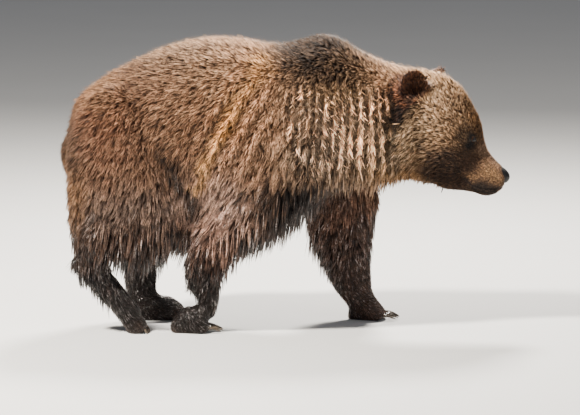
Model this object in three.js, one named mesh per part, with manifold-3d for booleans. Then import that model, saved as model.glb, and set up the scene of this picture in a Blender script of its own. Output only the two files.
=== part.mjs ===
// A grizzly bear in mid-stride, life size, parted where its body parts are named.
// Millimetres, +Z up, +X towards the head, +Y to the bear's left.
// Every outline is the outside of the coat, out to the tips of the hair.

import * as THREE from 'three';
import { mergeVertices } from 'three/addons/utils/BufferGeometryUtils.js';
import Module from 'manifold-3d';

const wasm = await Module();
wasm.setup();

// ---- driving dimensions ----

const partingGap = 0.5; // between neighbouring pieces
const blockSize = 3000; // the blocks that part the body are larger than the bear

// Where the trunk is parted: a point on each plane and the way it faces.
const loinCut = { point: [-395, 0, 650], facing: [1, 0, 0.1] };
const shoulderCut = { point: [-70, 0, 650], facing: [1, 0, 0.06] };
const withersCut = { point: [262, 0, 700], facing: [1, 0, -0.22] };
const napeCut = { point: [372, 0, 690], facing: [1, 0, -0.14] };

// The head has a frame of its own: x along the muzzle, z towards the crown.
const headPlace = { at: [436, 0, 692], noseDown: 33, turnToRight: 8 };

const eye = { along: 199, height: 76, radius: 12, proud: 3.5 };
const nosePad = { at: [361, 0, 18], half: [20.5, 27, 21] };
const mouth = { lip: [392, -2], corner: [252, -50], jawAngle: [206, -152] };

const ear = { halfWidth: 56, halfHeight: 62, halfThick: 13, cup: 26 };
const earRight = { at: [-62, -124, 124], turnOut: 58, lean: 16, forward: 6 };
const earLeft = { at: [-20, 112, 136], turnOut: 26, lean: 16, forward: 34 };

const tail = { at: [-722, 0, 575], half: [36, 42, 84], lean: -9 };

const toesPerPaw = 5;
const foreClaw = { length: 46, root: 7, drop: 15, sunk: 16 };
const hindClaw = { length: 33, root: 6.5, drop: 14, sunk: 14 };

// ---- solids ----

const axisX = new THREE.Vector3(1, 0, 0);
const axisY = new THREE.Vector3(0, 1, 0);
const axisZ = new THREE.Vector3(0, 0, 1);

function solidOf(geometry) {
  const bare = geometry.clone();
  bare.deleteAttribute('normal');
  bare.deleteAttribute('uv');
  const merged = mergeVertices(bare);
  return new wasm.Manifold(new wasm.Mesh({
    numProp: 3,
    vertProperties: merged.attributes.position.array,
    triVerts: new Uint32Array(merged.index.array),
  }));
}

function geometryOf(solid) {
  const mesh = solid.getMesh();
  const geometry = new THREE.BufferGeometry();
  geometry.setAttribute('position', new THREE.BufferAttribute(mesh.vertProperties, 3));
  geometry.setIndex(new THREE.BufferAttribute(mesh.triVerts, 1));
  geometry.computeVertexNormals();
  return geometry;
}

// Half of all space, as a block: what lies ahead of a plane, `shift` beyond it.
function ahead({ point, facing }, shift = 0) {
  const normal = new THREE.Vector3(...facing).normalize();
  const block = new THREE.BoxGeometry(blockSize, blockSize, blockSize);
  block.translate(0, 0, blockSize / 2 + shift);
  block.applyQuaternion(new THREE.Quaternion().setFromUnitVectors(axisZ, normal));
  block.translate(...point);
  return solidOf(block);
}

// Parts a solid in two: what lies ahead of the plane, and what lies behind it.
function part(solid, plane) {
  return [
    solid.intersect(ahead(plane, partingGap / 2)),
    solid.subtract(ahead(plane, -partingGap / 2)),
  ];
}

const aboveFloor = { point: [0, 0, 0], facing: [0, 0, 1] };

function onFloor(solid) {
  return solid.intersect(ahead(aboveFloor));
}

// A table of body sections, one row for each station along a line.
function table(names, rows) {
  return rows.map((row) => Object.fromEntries(names.map((name, i) => [name, row[i]])));
}

// One column of the table, read smoothly between its stations (cubic Hermite).
function read(stations, name, at) {
  const last = stations.length - 1;
  const next = stations.findIndex((station) => station.at > at);
  const i = next < 0 ? last - 1 : Math.max(next - 1, 0);
  const slope = (j) => {
    const before = stations[Math.max(j - 1, 0)];
    const after = stations[Math.min(j + 1, last)];
    return (after[name] - before[name]) / (after.at - before.at);
  };
  const span = stations[i + 1].at - stations[i].at;
  const t = THREE.MathUtils.clamp((at - stations[i].at) / span, 0, 1);
  const ease = t * t * (3 - 2 * t);
  const bend = slope(i) * t * (1 - t) ** 2 - slope(i + 1) * t * t * (1 - t);
  return stations[i][name] * (1 - ease) + stations[i + 1][name] * ease + bend * span;
}

// One section as a rounded egg: its two heights, its middle and its half-width.
function sectionAt({ stations, widest }, at) {
  const high = read(stations, 'high', at);
  const low = read(stations, 'low', at);
  return {
    high,
    low,
    middle: low + (high - low) * widest,
    side: read(stations, 'side', at),
    half: read(stations, 'half', at),
    full: read(stations, 'full', at),
  };
}

const rounded = (value, full) => Math.sign(value) * Math.abs(value) ** (2 / full);

// How much of its section is left `inside` from an end that closes over `round`.
const closing = (inside, round) => Math.sqrt(1 - (1 - Math.min(inside / round, 1)) ** 2);

// A closed solid through a table of sections: each ring of a sphere becomes one of them.
// `along` is the way the stations run, `upward` the way their heights are measured, and
// `even` how evenly the rings are spaced: at 0 they crowd towards the ends.
function loft(shape, grow = 0) {
  const { along, upward, stations, around, rings, even, roundStart, roundEnd } = shape;
  const across = upward.clone().cross(along);
  const start = stations[0].at - grow;
  const end = stations[stations.length - 1].at + grow;
  const sphere = new THREE.SphereGeometry(1, around, rings);
  const position = sphere.attributes.position;
  const unit = new THREE.Vector3();
  const point = new THREE.Vector3();
  for (let i = 0; i < position.count; i++) {
    unit.fromBufferAttribute(position, i);
    const radial = Math.hypot(unit.x, unit.z);
    const share = THREE.MathUtils.lerp((1 + unit.y) / 2, 1 - Math.acos(unit.y) / Math.PI, even);
    const at = start + (end - start) * share;
    const section = sectionAt(shape, at);
    const closed = radial < 1e-6 ? 0 : closing(at - start, roundStart) * closing(end - at, roundEnd);
    const up = radial < 1e-6 ? 0 : rounded(unit.x / radial, section.full);
    const out = radial < 1e-6 ? 0 : rounded(unit.z / radial, section.full);
    const reach = up > 0 ? section.high - section.middle : section.middle - section.low;
    point.copy(along).multiplyScalar(at);
    point.addScaledVector(upward, section.middle + up * closed * (reach + grow));
    point.addScaledVector(axisY, section.side);
    point.addScaledVector(across, out * closed * (section.half + grow));
    position.setXYZ(i, point.x, point.y, point.z);
  }
  return sphere;
}

// A rounded lump, `half` long, wide and high, as a geometry about the origin.
function lump(half, around, rings, grow = 0) {
  const sphere = new THREE.SphereGeometry(1, around, rings);
  sphere.scale(half[0] + grow, half[1] + grow, half[2] + grow);
  return sphere;
}

// ---- trunk and neck: stations run forward, heights are above the floor ----

const trunkShape = {
  along: axisX,
  upward: axisZ,
  widest: 0.46,
  around: 20,
  rings: 22,
  even: 0.75,
  roundStart: 34,
  roundEnd: 60,
  stations: table(['at', 'high', 'low', 'side', 'half', 'full'], [
    [-748, 716, 520, 0, 104, 2.1],
    [-706, 774, 452, 0, 146, 2.2],
    [-626, 841, 384, 0, 190, 2.2],
    [-530, 897, 338, 0, 220, 2.2],
    [-410, 951, 300, 0, 242, 2.2],
    [-286, 984, 280, 0, 252, 2.2],
    [-150, 985, 282, 0, 252, 2.2],
    [-30, 963, 322, 0, 242, 2.1],
    [60, 980, 392, 0, 228, 2.0],
    [130, 1001, 446, 0, 210, 1.95],
    [200, 980, 474, 0, 194, 1.95],
    [280, 928, 484, 0, 178, 2.0],
    [360, 897, 492, 0, 165, 2.05],
    [430, 880, 520, -6, 150, 2.1],
    [505, 850, 590, -12, 110, 2.1],
  ]),
};

// ---- head: stations run along the muzzle in the head's own frame ----

const headShape = {
  along: axisX,
  upward: axisZ,
  widest: 0.43,
  around: 20,
  rings: 22,
  even: 0.5,
  roundStart: 60,
  roundEnd: 16,
  stations: table(['at', 'high', 'low', 'side', 'half', 'full'], [
    [-170, 120, -130, 0, 110, 2],
    [-80, 171, -180, 0, 138, 2],
    [-5, 201, -196, 0, 142, 1.95],
    [70, 197, -176, 0, 138, 1.95],
    [130, 171, -148, 0, 124, 1.9],
    [180, 142, -138, 0, 103, 1.9],
    [208, 115, -132, 0, 88, 1.95],
    [232, 86, -118, 0, 74, 2.1],
    [262, 64, -99, 0, 62, 2.3],
    [300, 50, -80, 0, 55, 2.4],
    [338, 44, -70, 0, 50, 2.4],
    [364, 38, -44, 0, 40, 2.3],
    [377, 30, -14, 0, 29, 2.2],
  ]),
};

// Half the head's width at a height of one of its stations.
function headHalfAt(along, height) {
  const section = sectionAt(headShape, along);
  const reach = height > section.middle ? section.high - section.middle : section.middle - section.low;
  const share = Math.abs(height - section.middle) / reach;
  return section.half * (1 - share ** section.full) ** (1 / section.full);
}

function toHead(geometry) {
  geometry.rotateY(THREE.MathUtils.degToRad(headPlace.noseDown));
  geometry.rotateZ(THREE.MathUtils.degToRad(-headPlace.turnToRight));
  geometry.translate(...headPlace.at);
  return geometry;
}

// side is -1 for the bear's right and 1 for its left.
function eyeball(side, grow = 0) {
  const inward = eye.radius - eye.proud;
  const ball = lump([eye.radius, eye.radius, eye.radius], 8, 6, grow);
  ball.translate(eye.along, side * (headHalfAt(eye.along, eye.height) - inward), eye.height);
  return solidOf(toHead(ball));
}

function nose(grow = 0) {
  const pad = lump(nosePad.half, 10, 7, grow);
  pad.translate(...nosePad.at);
  return solidOf(toHead(pad));
}

// The cup opens along x before the ear is turned out and leaned.
function earSolid(side, place, grow = 0) {
  const shell = lump([ear.halfThick, ear.halfWidth, ear.halfHeight], 10, 8, grow);
  const position = shell.attributes.position;
  for (let i = 0; i < position.count; i++) {
    const rim = (position.getY(i) / ear.halfWidth) ** 2 + (position.getZ(i) / ear.halfHeight) ** 2;
    position.setX(i, position.getX(i) - ear.cup * (1 - rim));
  }
  shell.rotateY(THREE.MathUtils.degToRad(place.forward - headPlace.noseDown));
  shell.rotateZ(THREE.MathUtils.degToRad(side * place.turnOut));
  shell.rotateX(THREE.MathUtils.degToRad(-side * place.lean));
  shell.translate(...place.at);
  return solidOf(toHead(shell));
}

// Everything under the mouth and ahead of the angle of the jaw.
function jawBlock(grow = 0) {
  const [lipX, lipZ] = mouth.lip;
  const [cornerX, cornerZ] = mouth.corner;
  const [angleX, angleZ] = mouth.jawAngle;
  const outline = new THREE.Shape([
    new THREE.Vector2(lipX, lipZ + grow),
    new THREE.Vector2(cornerX - grow, cornerZ + grow),
    new THREE.Vector2(angleX - grow, angleZ),
    new THREE.Vector2(angleX - grow, -blockSize / 8),
    new THREE.Vector2(lipX, -blockSize / 8),
  ].reverse());
  const block = new THREE.ExtrudeGeometry(outline, { depth: blockSize / 4, bevelEnabled: false });
  block.translate(0, 0, -blockSize / 8);
  block.rotateX(Math.PI / 2);
  return solidOf(toHead(block));
}

function tailSolid(grow = 0) {
  const tuft = lump(tail.half, 10, 6, grow);
  tuft.rotateY(THREE.MathUtils.degToRad(tail.lean));
  tuft.translate(...tail.at);
  return solidOf(tuft);
}

// ---- legs: stations run upward, low and high are the rear and front edges ----

const legColumns = ['at', 'low', 'high', 'side', 'half', 'full'];

function legShape(rows) {
  return {
    along: axisZ,
    upward: axisX,
    widest: 0.5,
    around: 12,
    rings: 11,
    even: 0.15,
    roundStart: 12,
    roundEnd: 80,
    stations: table(legColumns, rows),
  };
}

// The right foreleg is at the end of its stride: it slopes back from the shoulder.
const foreRight = {
  leg: legShape([
    [26, -350, -250, -134, 46, 2.2],
    [66, -322, -228, -135, 42, 2.1],
    [106, -288, -215, -138, 38, 2],
    [150, -330, -206, -142, 43, 2.1],
    [210, -354, -190, -147, 50, 2.2],
    [270, -350, -150, -152, 60, 2.2],
    [335, -334, -76, -158, 70, 2.2],
    [400, -304, 16, -162, 80, 2.2],
    [480, -222, 96, -165, 88, 2.2],
    [580, -120, 186, -164, 92, 2.1],
    [700, -46, 226, -158, 84, 2],
    [800, 0, 212, -146, 66, 2],
    [880, 40, 180, -132, 44, 2],
  ]),
  elbow: { point: [-170, 0, 372], facing: [0.5, 0, 0.86] },
  wrist: { point: [-258, 0, 97], facing: [0.1, 0, 1] },
};

// The left foreleg is at the start of its stride, straight down under the neck.
const foreLeft = {
  leg: legShape([
    [24, 226, 332, 130, 46, 2.2],
    [62, 206, 316, 131, 44, 2.1],
    [106, 166, 302, 134, 46, 2.1],
    [168, 129, 300, 140, 50, 2.2],
    [243, 88, 302, 147, 58, 2.2],
    [322, 64, 322, 154, 68, 2.2],
    [400, 58, 338, 160, 78, 2.2],
    [480, 52, 340, 165, 86, 2.2],
    [580, 38, 316, 165, 92, 2.1],
    [700, 32, 286, 158, 84, 2],
    [800, 44, 250, 146, 66, 2],
    [880, 60, 200, 132, 44, 2],
  ]),
  elbow: { point: [200, 0, 392], facing: [0.05, 0, 1] },
  wrist: { point: [258, 0, 86], facing: [0.2, 0, 1] },
};

// The right hind leg is pushing off: knee forward, heel high, toes on the floor.
const hindRight = {
  leg: legShape([
    [248, -672, -396, -152, 48, 2.2],
    [284, -706, -372, -158, 58, 2.3],
    [330, -722, -356, -164, 70, 2.3],
    [400, -738, -342, -172, 80, 2.3],
    [490, -740, -342, -176, 86, 2.2],
    [590, -738, -380, -176, 86, 2.2],
    [700, -716, -430, -166, 76, 2.1],
    [800, -672, -486, -146, 54, 2],
    [850, -640, -530, -134, 38, 2],
  ]),
  foot: {
    ...legShape([
      [-6, -520, -470, -140, 50, 2.3],
      [24, -540, -470, -140, 55, 2.3],
      [60, -572, -482, -141, 56, 2.2],
      [107, -612, -496, -143, 53, 2.1],
      [150, -652, -528, -146, 49, 2],
      [205, -704, -560, -150, 46, 2],
      [250, -730, -580, -152, 44, 2],
      [300, -716, -560, -154, 44, 2],
    ]),
    roundStart: 8,
    roundEnd: 50,
  },
  knee: { point: [-540, 0, 372], facing: [0.08, 0, 1] },
  ankle: { point: [-602, 0, 252], facing: [0.45, 0, 0.89] },
};

// The left hind leg stands under the body, its shank upright.
const hindLeft = {
  leg: legShape([
    [34, -540, -430, 131, 44, 2.2],
    [76, -546, -436, 132, 43, 2],
    [116, -548, -438, 134, 45, 2],
    [170, -556, -436, 139, 50, 2.1],
    [240, -578, -402, 146, 56, 2.2],
    [320, -614, -344, 156, 68, 2.2],
    [400, -640, -312, 168, 80, 2.2],
    [490, -664, -318, 176, 86, 2.2],
    [590, -688, -362, 176, 86, 2.2],
    [700, -692, -420, 166, 76, 2.1],
    [800, -664, -480, 146, 54, 2],
    [850, -636, -526, 134, 38, 2],
  ]),
  knee: { point: [-480, 0, 382], facing: [0.05, 0, 1] },
  ankle: { point: [-500, 0, 102], facing: [0.16, 0, 1] },
};

// ---- paws: a sole with five toes, each with a claw, in a frame at the toe line ----
// x runs forward past the toes, z is up from the sole.

const toeSpread = 0.94; // how much of the paw's width the toes take
const toeArc = 0.16; // how far the outer toes fall back, of the half-width

function pawShape(heel, top, halfHeel, halfToe) {
  return {
    along: axisX,
    upward: axisZ,
    widest: 0.42,
    around: 10,
    rings: 6,
    even: 0,
    roundStart: 26,
    roundEnd: 30,
    stations: table(['at', 'high', 'low', 'side', 'half', 'full'], [
      [-heel, top * 0.42, -6, 0, halfHeel, 2.2],
      [-heel * 0.66, top * 0.86, -7, 0, halfHeel * 1.05, 2.2],
      [-heel * 0.33, top, -7, 0, halfToe * 0.94, 2.2],
      [0, top * 0.74, -7, 0, halfToe, 2.3],
      [26, top * 0.5, -6, 0, halfToe * 0.9, 2.3],
    ]),
  };
}

const forePaw = { sole: pawShape(104, 92, 42, 62), halfToe: 62, toe: [27, 11, 22] };
const hindPaw = { sole: pawShape(182, 88, 42, 58), halfToe: 58, toe: [25, 10.2, 20] };

const pawRightFore = { ...forePaw, at: [-282, -134, 0], turn: 4, pitch: 0 };
const pawLeftFore = { ...forePaw, at: [318, 128, 0], turn: -5, pitch: 0 };
const pawLeftHind = { ...hindPaw, at: [-362, 130, 0], turn: 4, pitch: 0 };
const pawRightHind = { halfToe: 55, toe: [25, 9.8, 20], at: [-498, -140, 16], turn: -2, pitch: 38 };

function toPaw(geometry, paw) {
  geometry.rotateY(THREE.MathUtils.degToRad(paw.pitch));
  geometry.rotateZ(THREE.MathUtils.degToRad(paw.turn));
  geometry.translate(...paw.at);
  return geometry;
}

function toePlaces(paw) {
  const places = [];
  for (let i = 0; i < toesPerPaw; i++) {
    const share = (2 * i) / (toesPerPaw - 1) - 1;
    const side = share * (paw.halfToe * toeSpread - paw.toe[1]);
    places.push([12 - toeArc * paw.halfToe * share * share, side, paw.toe[2] - 3]);
  }
  return places;
}

function toeSolid(paw, place, grow = 0) {
  const toe = lump(paw.toe, 6, 4, grow);
  toe.translate(...place);
  return solidOf(toPaw(toe, paw));
}

const clawThins = 0.78; // of the root's thickness, lost by the tip
const clawHooks = 2.2; // how late along its length a claw bends down
const clawFlat = 0.72; // its width, of its height

// A claw curves forward and down from its toe, and thins to its tip.
function clawSolid(paw, place, claw) {
  const horn = new THREE.SphereGeometry(1, 5, 4);
  horn.rotateZ(-Math.PI / 2);
  const position = horn.attributes.position;
  for (let i = 0; i < position.count; i++) {
    const share = (1 + position.getX(i)) / 2;
    const thick = claw.root * (1 - clawThins * share ** 1.4);
    const x = share * (claw.length + claw.sunk) - claw.sunk;
    const fall = claw.drop * share ** clawHooks;
    position.setXYZ(i, x, position.getY(i) * thick * clawFlat, position.getZ(i) * thick - fall);
  }
  horn.translate(place[0] + paw.toe[0] - 3, place[1], place[2] + 2);
  const inToe = solidOf(toPaw(horn, paw));
  return onFloor(inToe.subtract(toeSolid(paw, place, partingGap)));
}

// ---- the bear ----

const colors = {
  rump: '#7a4b33',
  flank: '#8b674a',
  hump: '#6f5542',
  neck: '#8f6f4e',
  face: '#c09a63',
  jaw: '#5d4331',
  ear: '#6b4330',
  leg: '#4a3124',
  paw: '#30211a',
  claw: '#3b3028',
  eye: '#2a1a10',
  nose: '#17130f',
};

const furFinish = { roughness: 0.85, metalness: 0 };
const hornFinish = { roughness: 0.42, metalness: 0 };
const wetFinish = { roughness: 0.2, metalness: 0 };

const group = new THREE.Group();

function addPiece(name, solid, color, finish = furFinish) {
  const mesh = new THREE.Mesh(geometryOf(solid), new THREE.MeshStandardMaterial({ color, ...finish }));
  mesh.name = name;
  group.add(mesh);
}

function addPaw(name, paw, claw, limb) {
  addPiece(`${name}_paw`, onFloor(limb), colors.paw);
  toePlaces(paw).forEach((place, i) => {
    addPiece(`${name}_claw_${i + 1}`, clawSolid(paw, place, claw), colors.claw, hornFinish);
  });
}

function withToes(limb, paw) {
  return toePlaces(paw).reduce((solid, place) => solid.add(toeSolid(paw, place)), limb);
}

// A flat-footed leg: its paw is under the lowest cut, its shank or forearm above it.
function addLeg(name, shape, paw, claw, upperName, lowerName, upperCut, lowerCut) {
  const foot = shape.foot ? loft(shape.foot) : toPaw(loft(paw.sole), paw);
  const limb = withToes(solidOf(loft(shape.leg)).add(solidOf(foot)), paw);
  const [upper, below] = part(limb, upperCut);
  const [lower, end] = part(below, lowerCut);
  addPiece(`${name}_${upperName}`, upper, colors.leg);
  addPiece(`${name}_${lowerName}`, lower, colors.leg);
  addPaw(name, paw, claw, end);
}

addLeg('foreleg_right', foreRight, pawRightFore, foreClaw, 'upper', 'forearm',
  foreRight.elbow, foreRight.wrist);
addLeg('foreleg_left', foreLeft, pawLeftFore, foreClaw, 'upper', 'forearm',
  foreLeft.elbow, foreLeft.wrist);
addLeg('hindleg_right', hindRight, pawRightHind, hindClaw, 'thigh', 'shank',
  hindRight.knee, hindRight.ankle);
addLeg('hindleg_left', hindLeft, pawLeftHind, hindClaw, 'thigh', 'shank',
  hindLeft.knee, hindLeft.ankle);

let body = solidOf(loft(trunkShape)).add(solidOf(toHead(loft(headShape))));
for (const shape of [foreRight, foreLeft, hindRight, hindLeft]) {
  body = body.subtract(solidOf(loft(shape.leg, partingGap)));
}
body = body.subtract(tailSolid(partingGap)).subtract(nose(partingGap));
body = body.subtract(earSolid(-1, earRight, partingGap)).subtract(earSolid(1, earLeft, partingGap));

const [frontOfLoin, hindquarters] = part(body, loinCut);
const [frontOfBarrel, barrel] = part(frontOfLoin, shoulderCut);
const [frontOfWithers, forequarters] = part(frontOfBarrel, withersCut);
const [wholeHead, neck] = part(frontOfWithers, napeCut);
const head = wholeHead.subtract(eyeball(-1, partingGap)).subtract(eyeball(1, partingGap));

addPiece('hindquarters', hindquarters, colors.rump);
addPiece('barrel', barrel, colors.flank);
addPiece('forequarters', forequarters, colors.hump);
addPiece('neck', neck, colors.neck);
addPiece('tail', tailSolid(), colors.rump);
addPiece('lower_jaw', head.intersect(jawBlock()), colors.jaw);
addPiece('head', head.subtract(jawBlock(partingGap)), colors.face);
addPiece('ear_right', earSolid(-1, earRight), colors.ear);
addPiece('ear_left', earSolid(1, earLeft), colors.ear);
addPiece('eye_right', eyeball(-1), colors.eye, wetFinish);
addPiece('eye_left', eyeball(1), colors.eye, wetFinish);
addPiece('nose_pad', nose(), colors.nose, wetFinish);

// The origin is on the floor, under the middle of the bear's box.
group.updateMatrixWorld(true);
const middle = new THREE.Box3().setFromObject(group).getCenter(new THREE.Vector3());
group.position.set(-middle.x, -middle.y, 0);

export default group;
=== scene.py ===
import math

import bmesh
import bpy
import numpy as np
from mathutils import Matrix, Vector
from mathutils.bvhtree import BVHTree


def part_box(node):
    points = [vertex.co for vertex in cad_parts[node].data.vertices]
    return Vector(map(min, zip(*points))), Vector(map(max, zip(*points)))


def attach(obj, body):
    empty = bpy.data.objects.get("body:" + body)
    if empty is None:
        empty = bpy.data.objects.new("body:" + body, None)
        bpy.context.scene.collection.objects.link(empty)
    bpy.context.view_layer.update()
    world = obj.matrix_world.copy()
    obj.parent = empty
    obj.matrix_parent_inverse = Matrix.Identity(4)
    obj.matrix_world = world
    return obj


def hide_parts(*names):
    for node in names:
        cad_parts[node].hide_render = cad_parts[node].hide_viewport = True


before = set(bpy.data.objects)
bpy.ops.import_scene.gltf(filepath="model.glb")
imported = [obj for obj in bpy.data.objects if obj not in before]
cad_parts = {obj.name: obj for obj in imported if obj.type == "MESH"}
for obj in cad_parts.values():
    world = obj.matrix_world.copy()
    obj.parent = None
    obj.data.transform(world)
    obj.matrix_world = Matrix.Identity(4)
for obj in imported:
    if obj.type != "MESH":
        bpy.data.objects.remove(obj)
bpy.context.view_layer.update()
print("frame loaded:", len(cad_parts), "nodes")


# Places in the head's own frame: x along the muzzle, y to the bear's left, z to the crown.
headMake = {"noseDown": 33, "turnToRight": 8, "eyes": (0.199, 0.0, 0.076)}


def middleOf(node):
    low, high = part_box(node)
    return (low + high) / 2


headTurn = (Matrix.Rotation(math.radians(-headMake["turnToRight"]), 3, "Z")
            @ Matrix.Rotation(math.radians(headMake["noseDown"]), 3, "Y"))
eyesMiddle = (middleOf("eye_right") + middleOf("eye_left")) / 2
headOrigin = eyesMiddle - headTurn @ Vector(headMake["eyes"])
headAxes = np.array(headTurn)
headStart = np.array(headOrigin)


def intoHead(points):
    return (points - headStart) @ headAxes


def outOfHead(points):
    return np.asarray(points, float) @ headAxes.T + headStart


def ripple(points, scale, seed, waves=9):
    # A smooth random field, about -1 to 1, whose bumps are `scale` metres apart.
    rng = np.random.default_rng(seed)
    ways = rng.normal(size=(3, waves))
    ways *= 2 * math.pi / scale * rng.uniform(0.6, 1.4, waves) / np.linalg.norm(ways, axis=0)
    return np.sin(points @ ways + rng.uniform(0, 6.28, waves)).sum(1) / math.sqrt(waves)


def drift(points, scale, seed):
    # A smooth random push at each point, about -1 to 1 each way.
    return np.stack([ripple(points, scale, seed + k) for k in range(3)], 1)


def bell(points, centre, reach):
    return np.exp(-0.5 * (((points - np.asarray(centre)) / np.asarray(reach)) ** 2).sum(1))


def smoothStep(values, start, end):
    share = np.clip((values - start) / (end - start), 0, 1)
    return share * share * (3 - 2 * share)


def mixed(a, b, share):
    return a + (b - a) * share


def unit(vectors):
    return vectors / np.maximum(np.linalg.norm(vectors, axis=1, keepdims=True), 1e-9)


def fromLine(flat, start, end):
    # How far each flat point is from the line between two places.
    start, along = np.asarray(start), np.subtract(end, start)
    share = np.clip(((flat - start) @ along) / (along @ along), 0, 1)
    return np.linalg.norm(flat - start - share[:, None] * along, axis=1)


def linear(colour):
    c = np.asarray(colour, float) / 255
    return np.where(c <= 0.04045, c / 12.92, ((c + 0.055) / 1.055) ** 2.4)


def fetched(items, key, width, kind=np.float32):
    # One property of all vertices, edges or faces, a row for each.
    values = np.empty(len(items) * width, kind)
    items.foreach_get(key, values)
    return values.reshape(-1, width).astype(float if kind == np.float32 else kind)


def verticesOf(mesh):
    return fetched(mesh.vertices, "co", 3)


def normalsOf(mesh):
    return fetched(mesh.vertex_normals, "vector", 3)


def moveVertices(mesh, co):
    mesh.vertices.foreach_set("co", co.astype(np.float32).ravel())
    mesh.update()


def addAttribute(mesh, name, values):
    single = values.ndim == 1
    attribute = mesh.attributes.new(name, "FLOAT" if single else "FLOAT_VECTOR", "POINT")
    attribute.data.foreach_set("value" if single else "vector", values.astype(np.float32).ravel())


def addObject(name, mesh):
    piece = bpy.data.objects.new(name, mesh)
    bpy.context.scene.collection.objects.link(piece)
    return piece


def opened(mesh):
    bm = bmesh.new()
    bm.from_mesh(mesh)
    return bm


def settled(bm, mesh, smooth=False):
    # Writes a bmesh into a mesh, or into a new one where a name is given.
    for face in bm.faces if smooth else ():
        face.smooth = True
    mesh = bpy.data.meshes.new(mesh) if isinstance(mesh, str) else mesh
    bm.to_mesh(mesh)
    bm.free()
    return mesh


# How the coat lies. Each row: x, y, z and reach in mm | the way the hair lies, in hundredths |
# depth of the coat and length of a lock in mm | its width and how many lie over each other, in
# tenths | how far they hang free and how wet, in hundredths. Rows with y over 0 in combTrunk and
# combHead count on both sides. The legs differ, so theirs are as they stand.
combUnits = (1000,) * 4 + (100,) * 3 + (1, 1, 10, 10, 100, 100)
combTrunk = np.array([
    # rump, tail and thigh
    (-600, 70, 860, 100, -85, 0, -45, 22, 38, 44, 70, 0, 0),
    (-730, 60, 680, 80, -25, 0, -97, 23, 42, 44, 70, 0, 0),
    (-660, 180, 700, 90, -50, 0, -85, 22, 40, 44, 70, 0, 0),
    (-740, 10, 570, 50, -20, 0, -100, 14, 44, 44, 70, 20, 0),
    (-720, 140, 480, 70, -12, 0, -100, 26, 52, 46, 70, 30, 20),
    (-550, 240, 660, 100, -40, 0, -92, 22, 40, 44, 70, 0, 0),
    (-500, 250, 500, 80, -40, 0, -92, 23, 50, 46, 70, 10, 20),
    (-370, 220, 500, 70, 22, 0, -97, 25, 56, 48, 70, 30, 50),
    (-520, 220, 400, 60, -45, 0, -89, 26, 63, 48, 70, 40, 60),
    # loin, back, flank and belly
    (-400, 50, 950, 100, -100, 0, -12, 21, 37, 44, 70, 0, 0),
    (-380, 220, 780, 100, -72, 0, -70, 21, 38, 44, 70, 0, 0),
    (-150, 50, 980, 100, -100, 0, -5, 21, 37, 44, 70, 0, 0),
    (-150, 220, 820, 100, -60, 0, -80, 21, 38, 44, 70, 0, 0),
    (-220, 250, 620, 100, -48, 0, -88, 22, 42, 46, 70, 0, 10),
    (-220, 200, 400, 70, -50, 0, -85, 26, 63, 48, 70, 40, 50),
    (-200, 40, 290, 80, -85, 0, -50, 26, 63, 50, 60, 50, 60),
    # hump and shoulder
    (120, 40, 1000, 80, -95, 0, 0, 22, 31, 42, 75, 0, 0),
    (100, 170, 880, 90, -30, 0, -95, 22, 33, 44, 70, 0, 0),
    (50, 250, 720, 90, -14, 0, -99, 19, 31, 44, 70, 0, 0),
    (20, 250, 550, 70, -30, 0, -95, 23, 50, 46, 70, 10, 20),
    # neck, throat and chest
    (320, 50, 910, 80, -98, 0, 10, 20, 29, 40, 75, 0, 0),
    (300, 150, 820, 70, -30, 0, -95, 20, 30, 40, 75, 0, 0),
    (270, 180, 680, 80, 4, 0, -100, 19, 30, 42, 75, 0, 0),
    (270, 130, 550, 60, 4, 0, -100, 28, 61, 44, 75, 50, 10),
    (380, 40, 500, 60, 5, 0, -100, 24, 53, 44, 70, 40, 20),
    (180, 30, 430, 70, -25, 0, -97, 30, 76, 50, 65, 70, 60),
]) / combUnits
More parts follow.
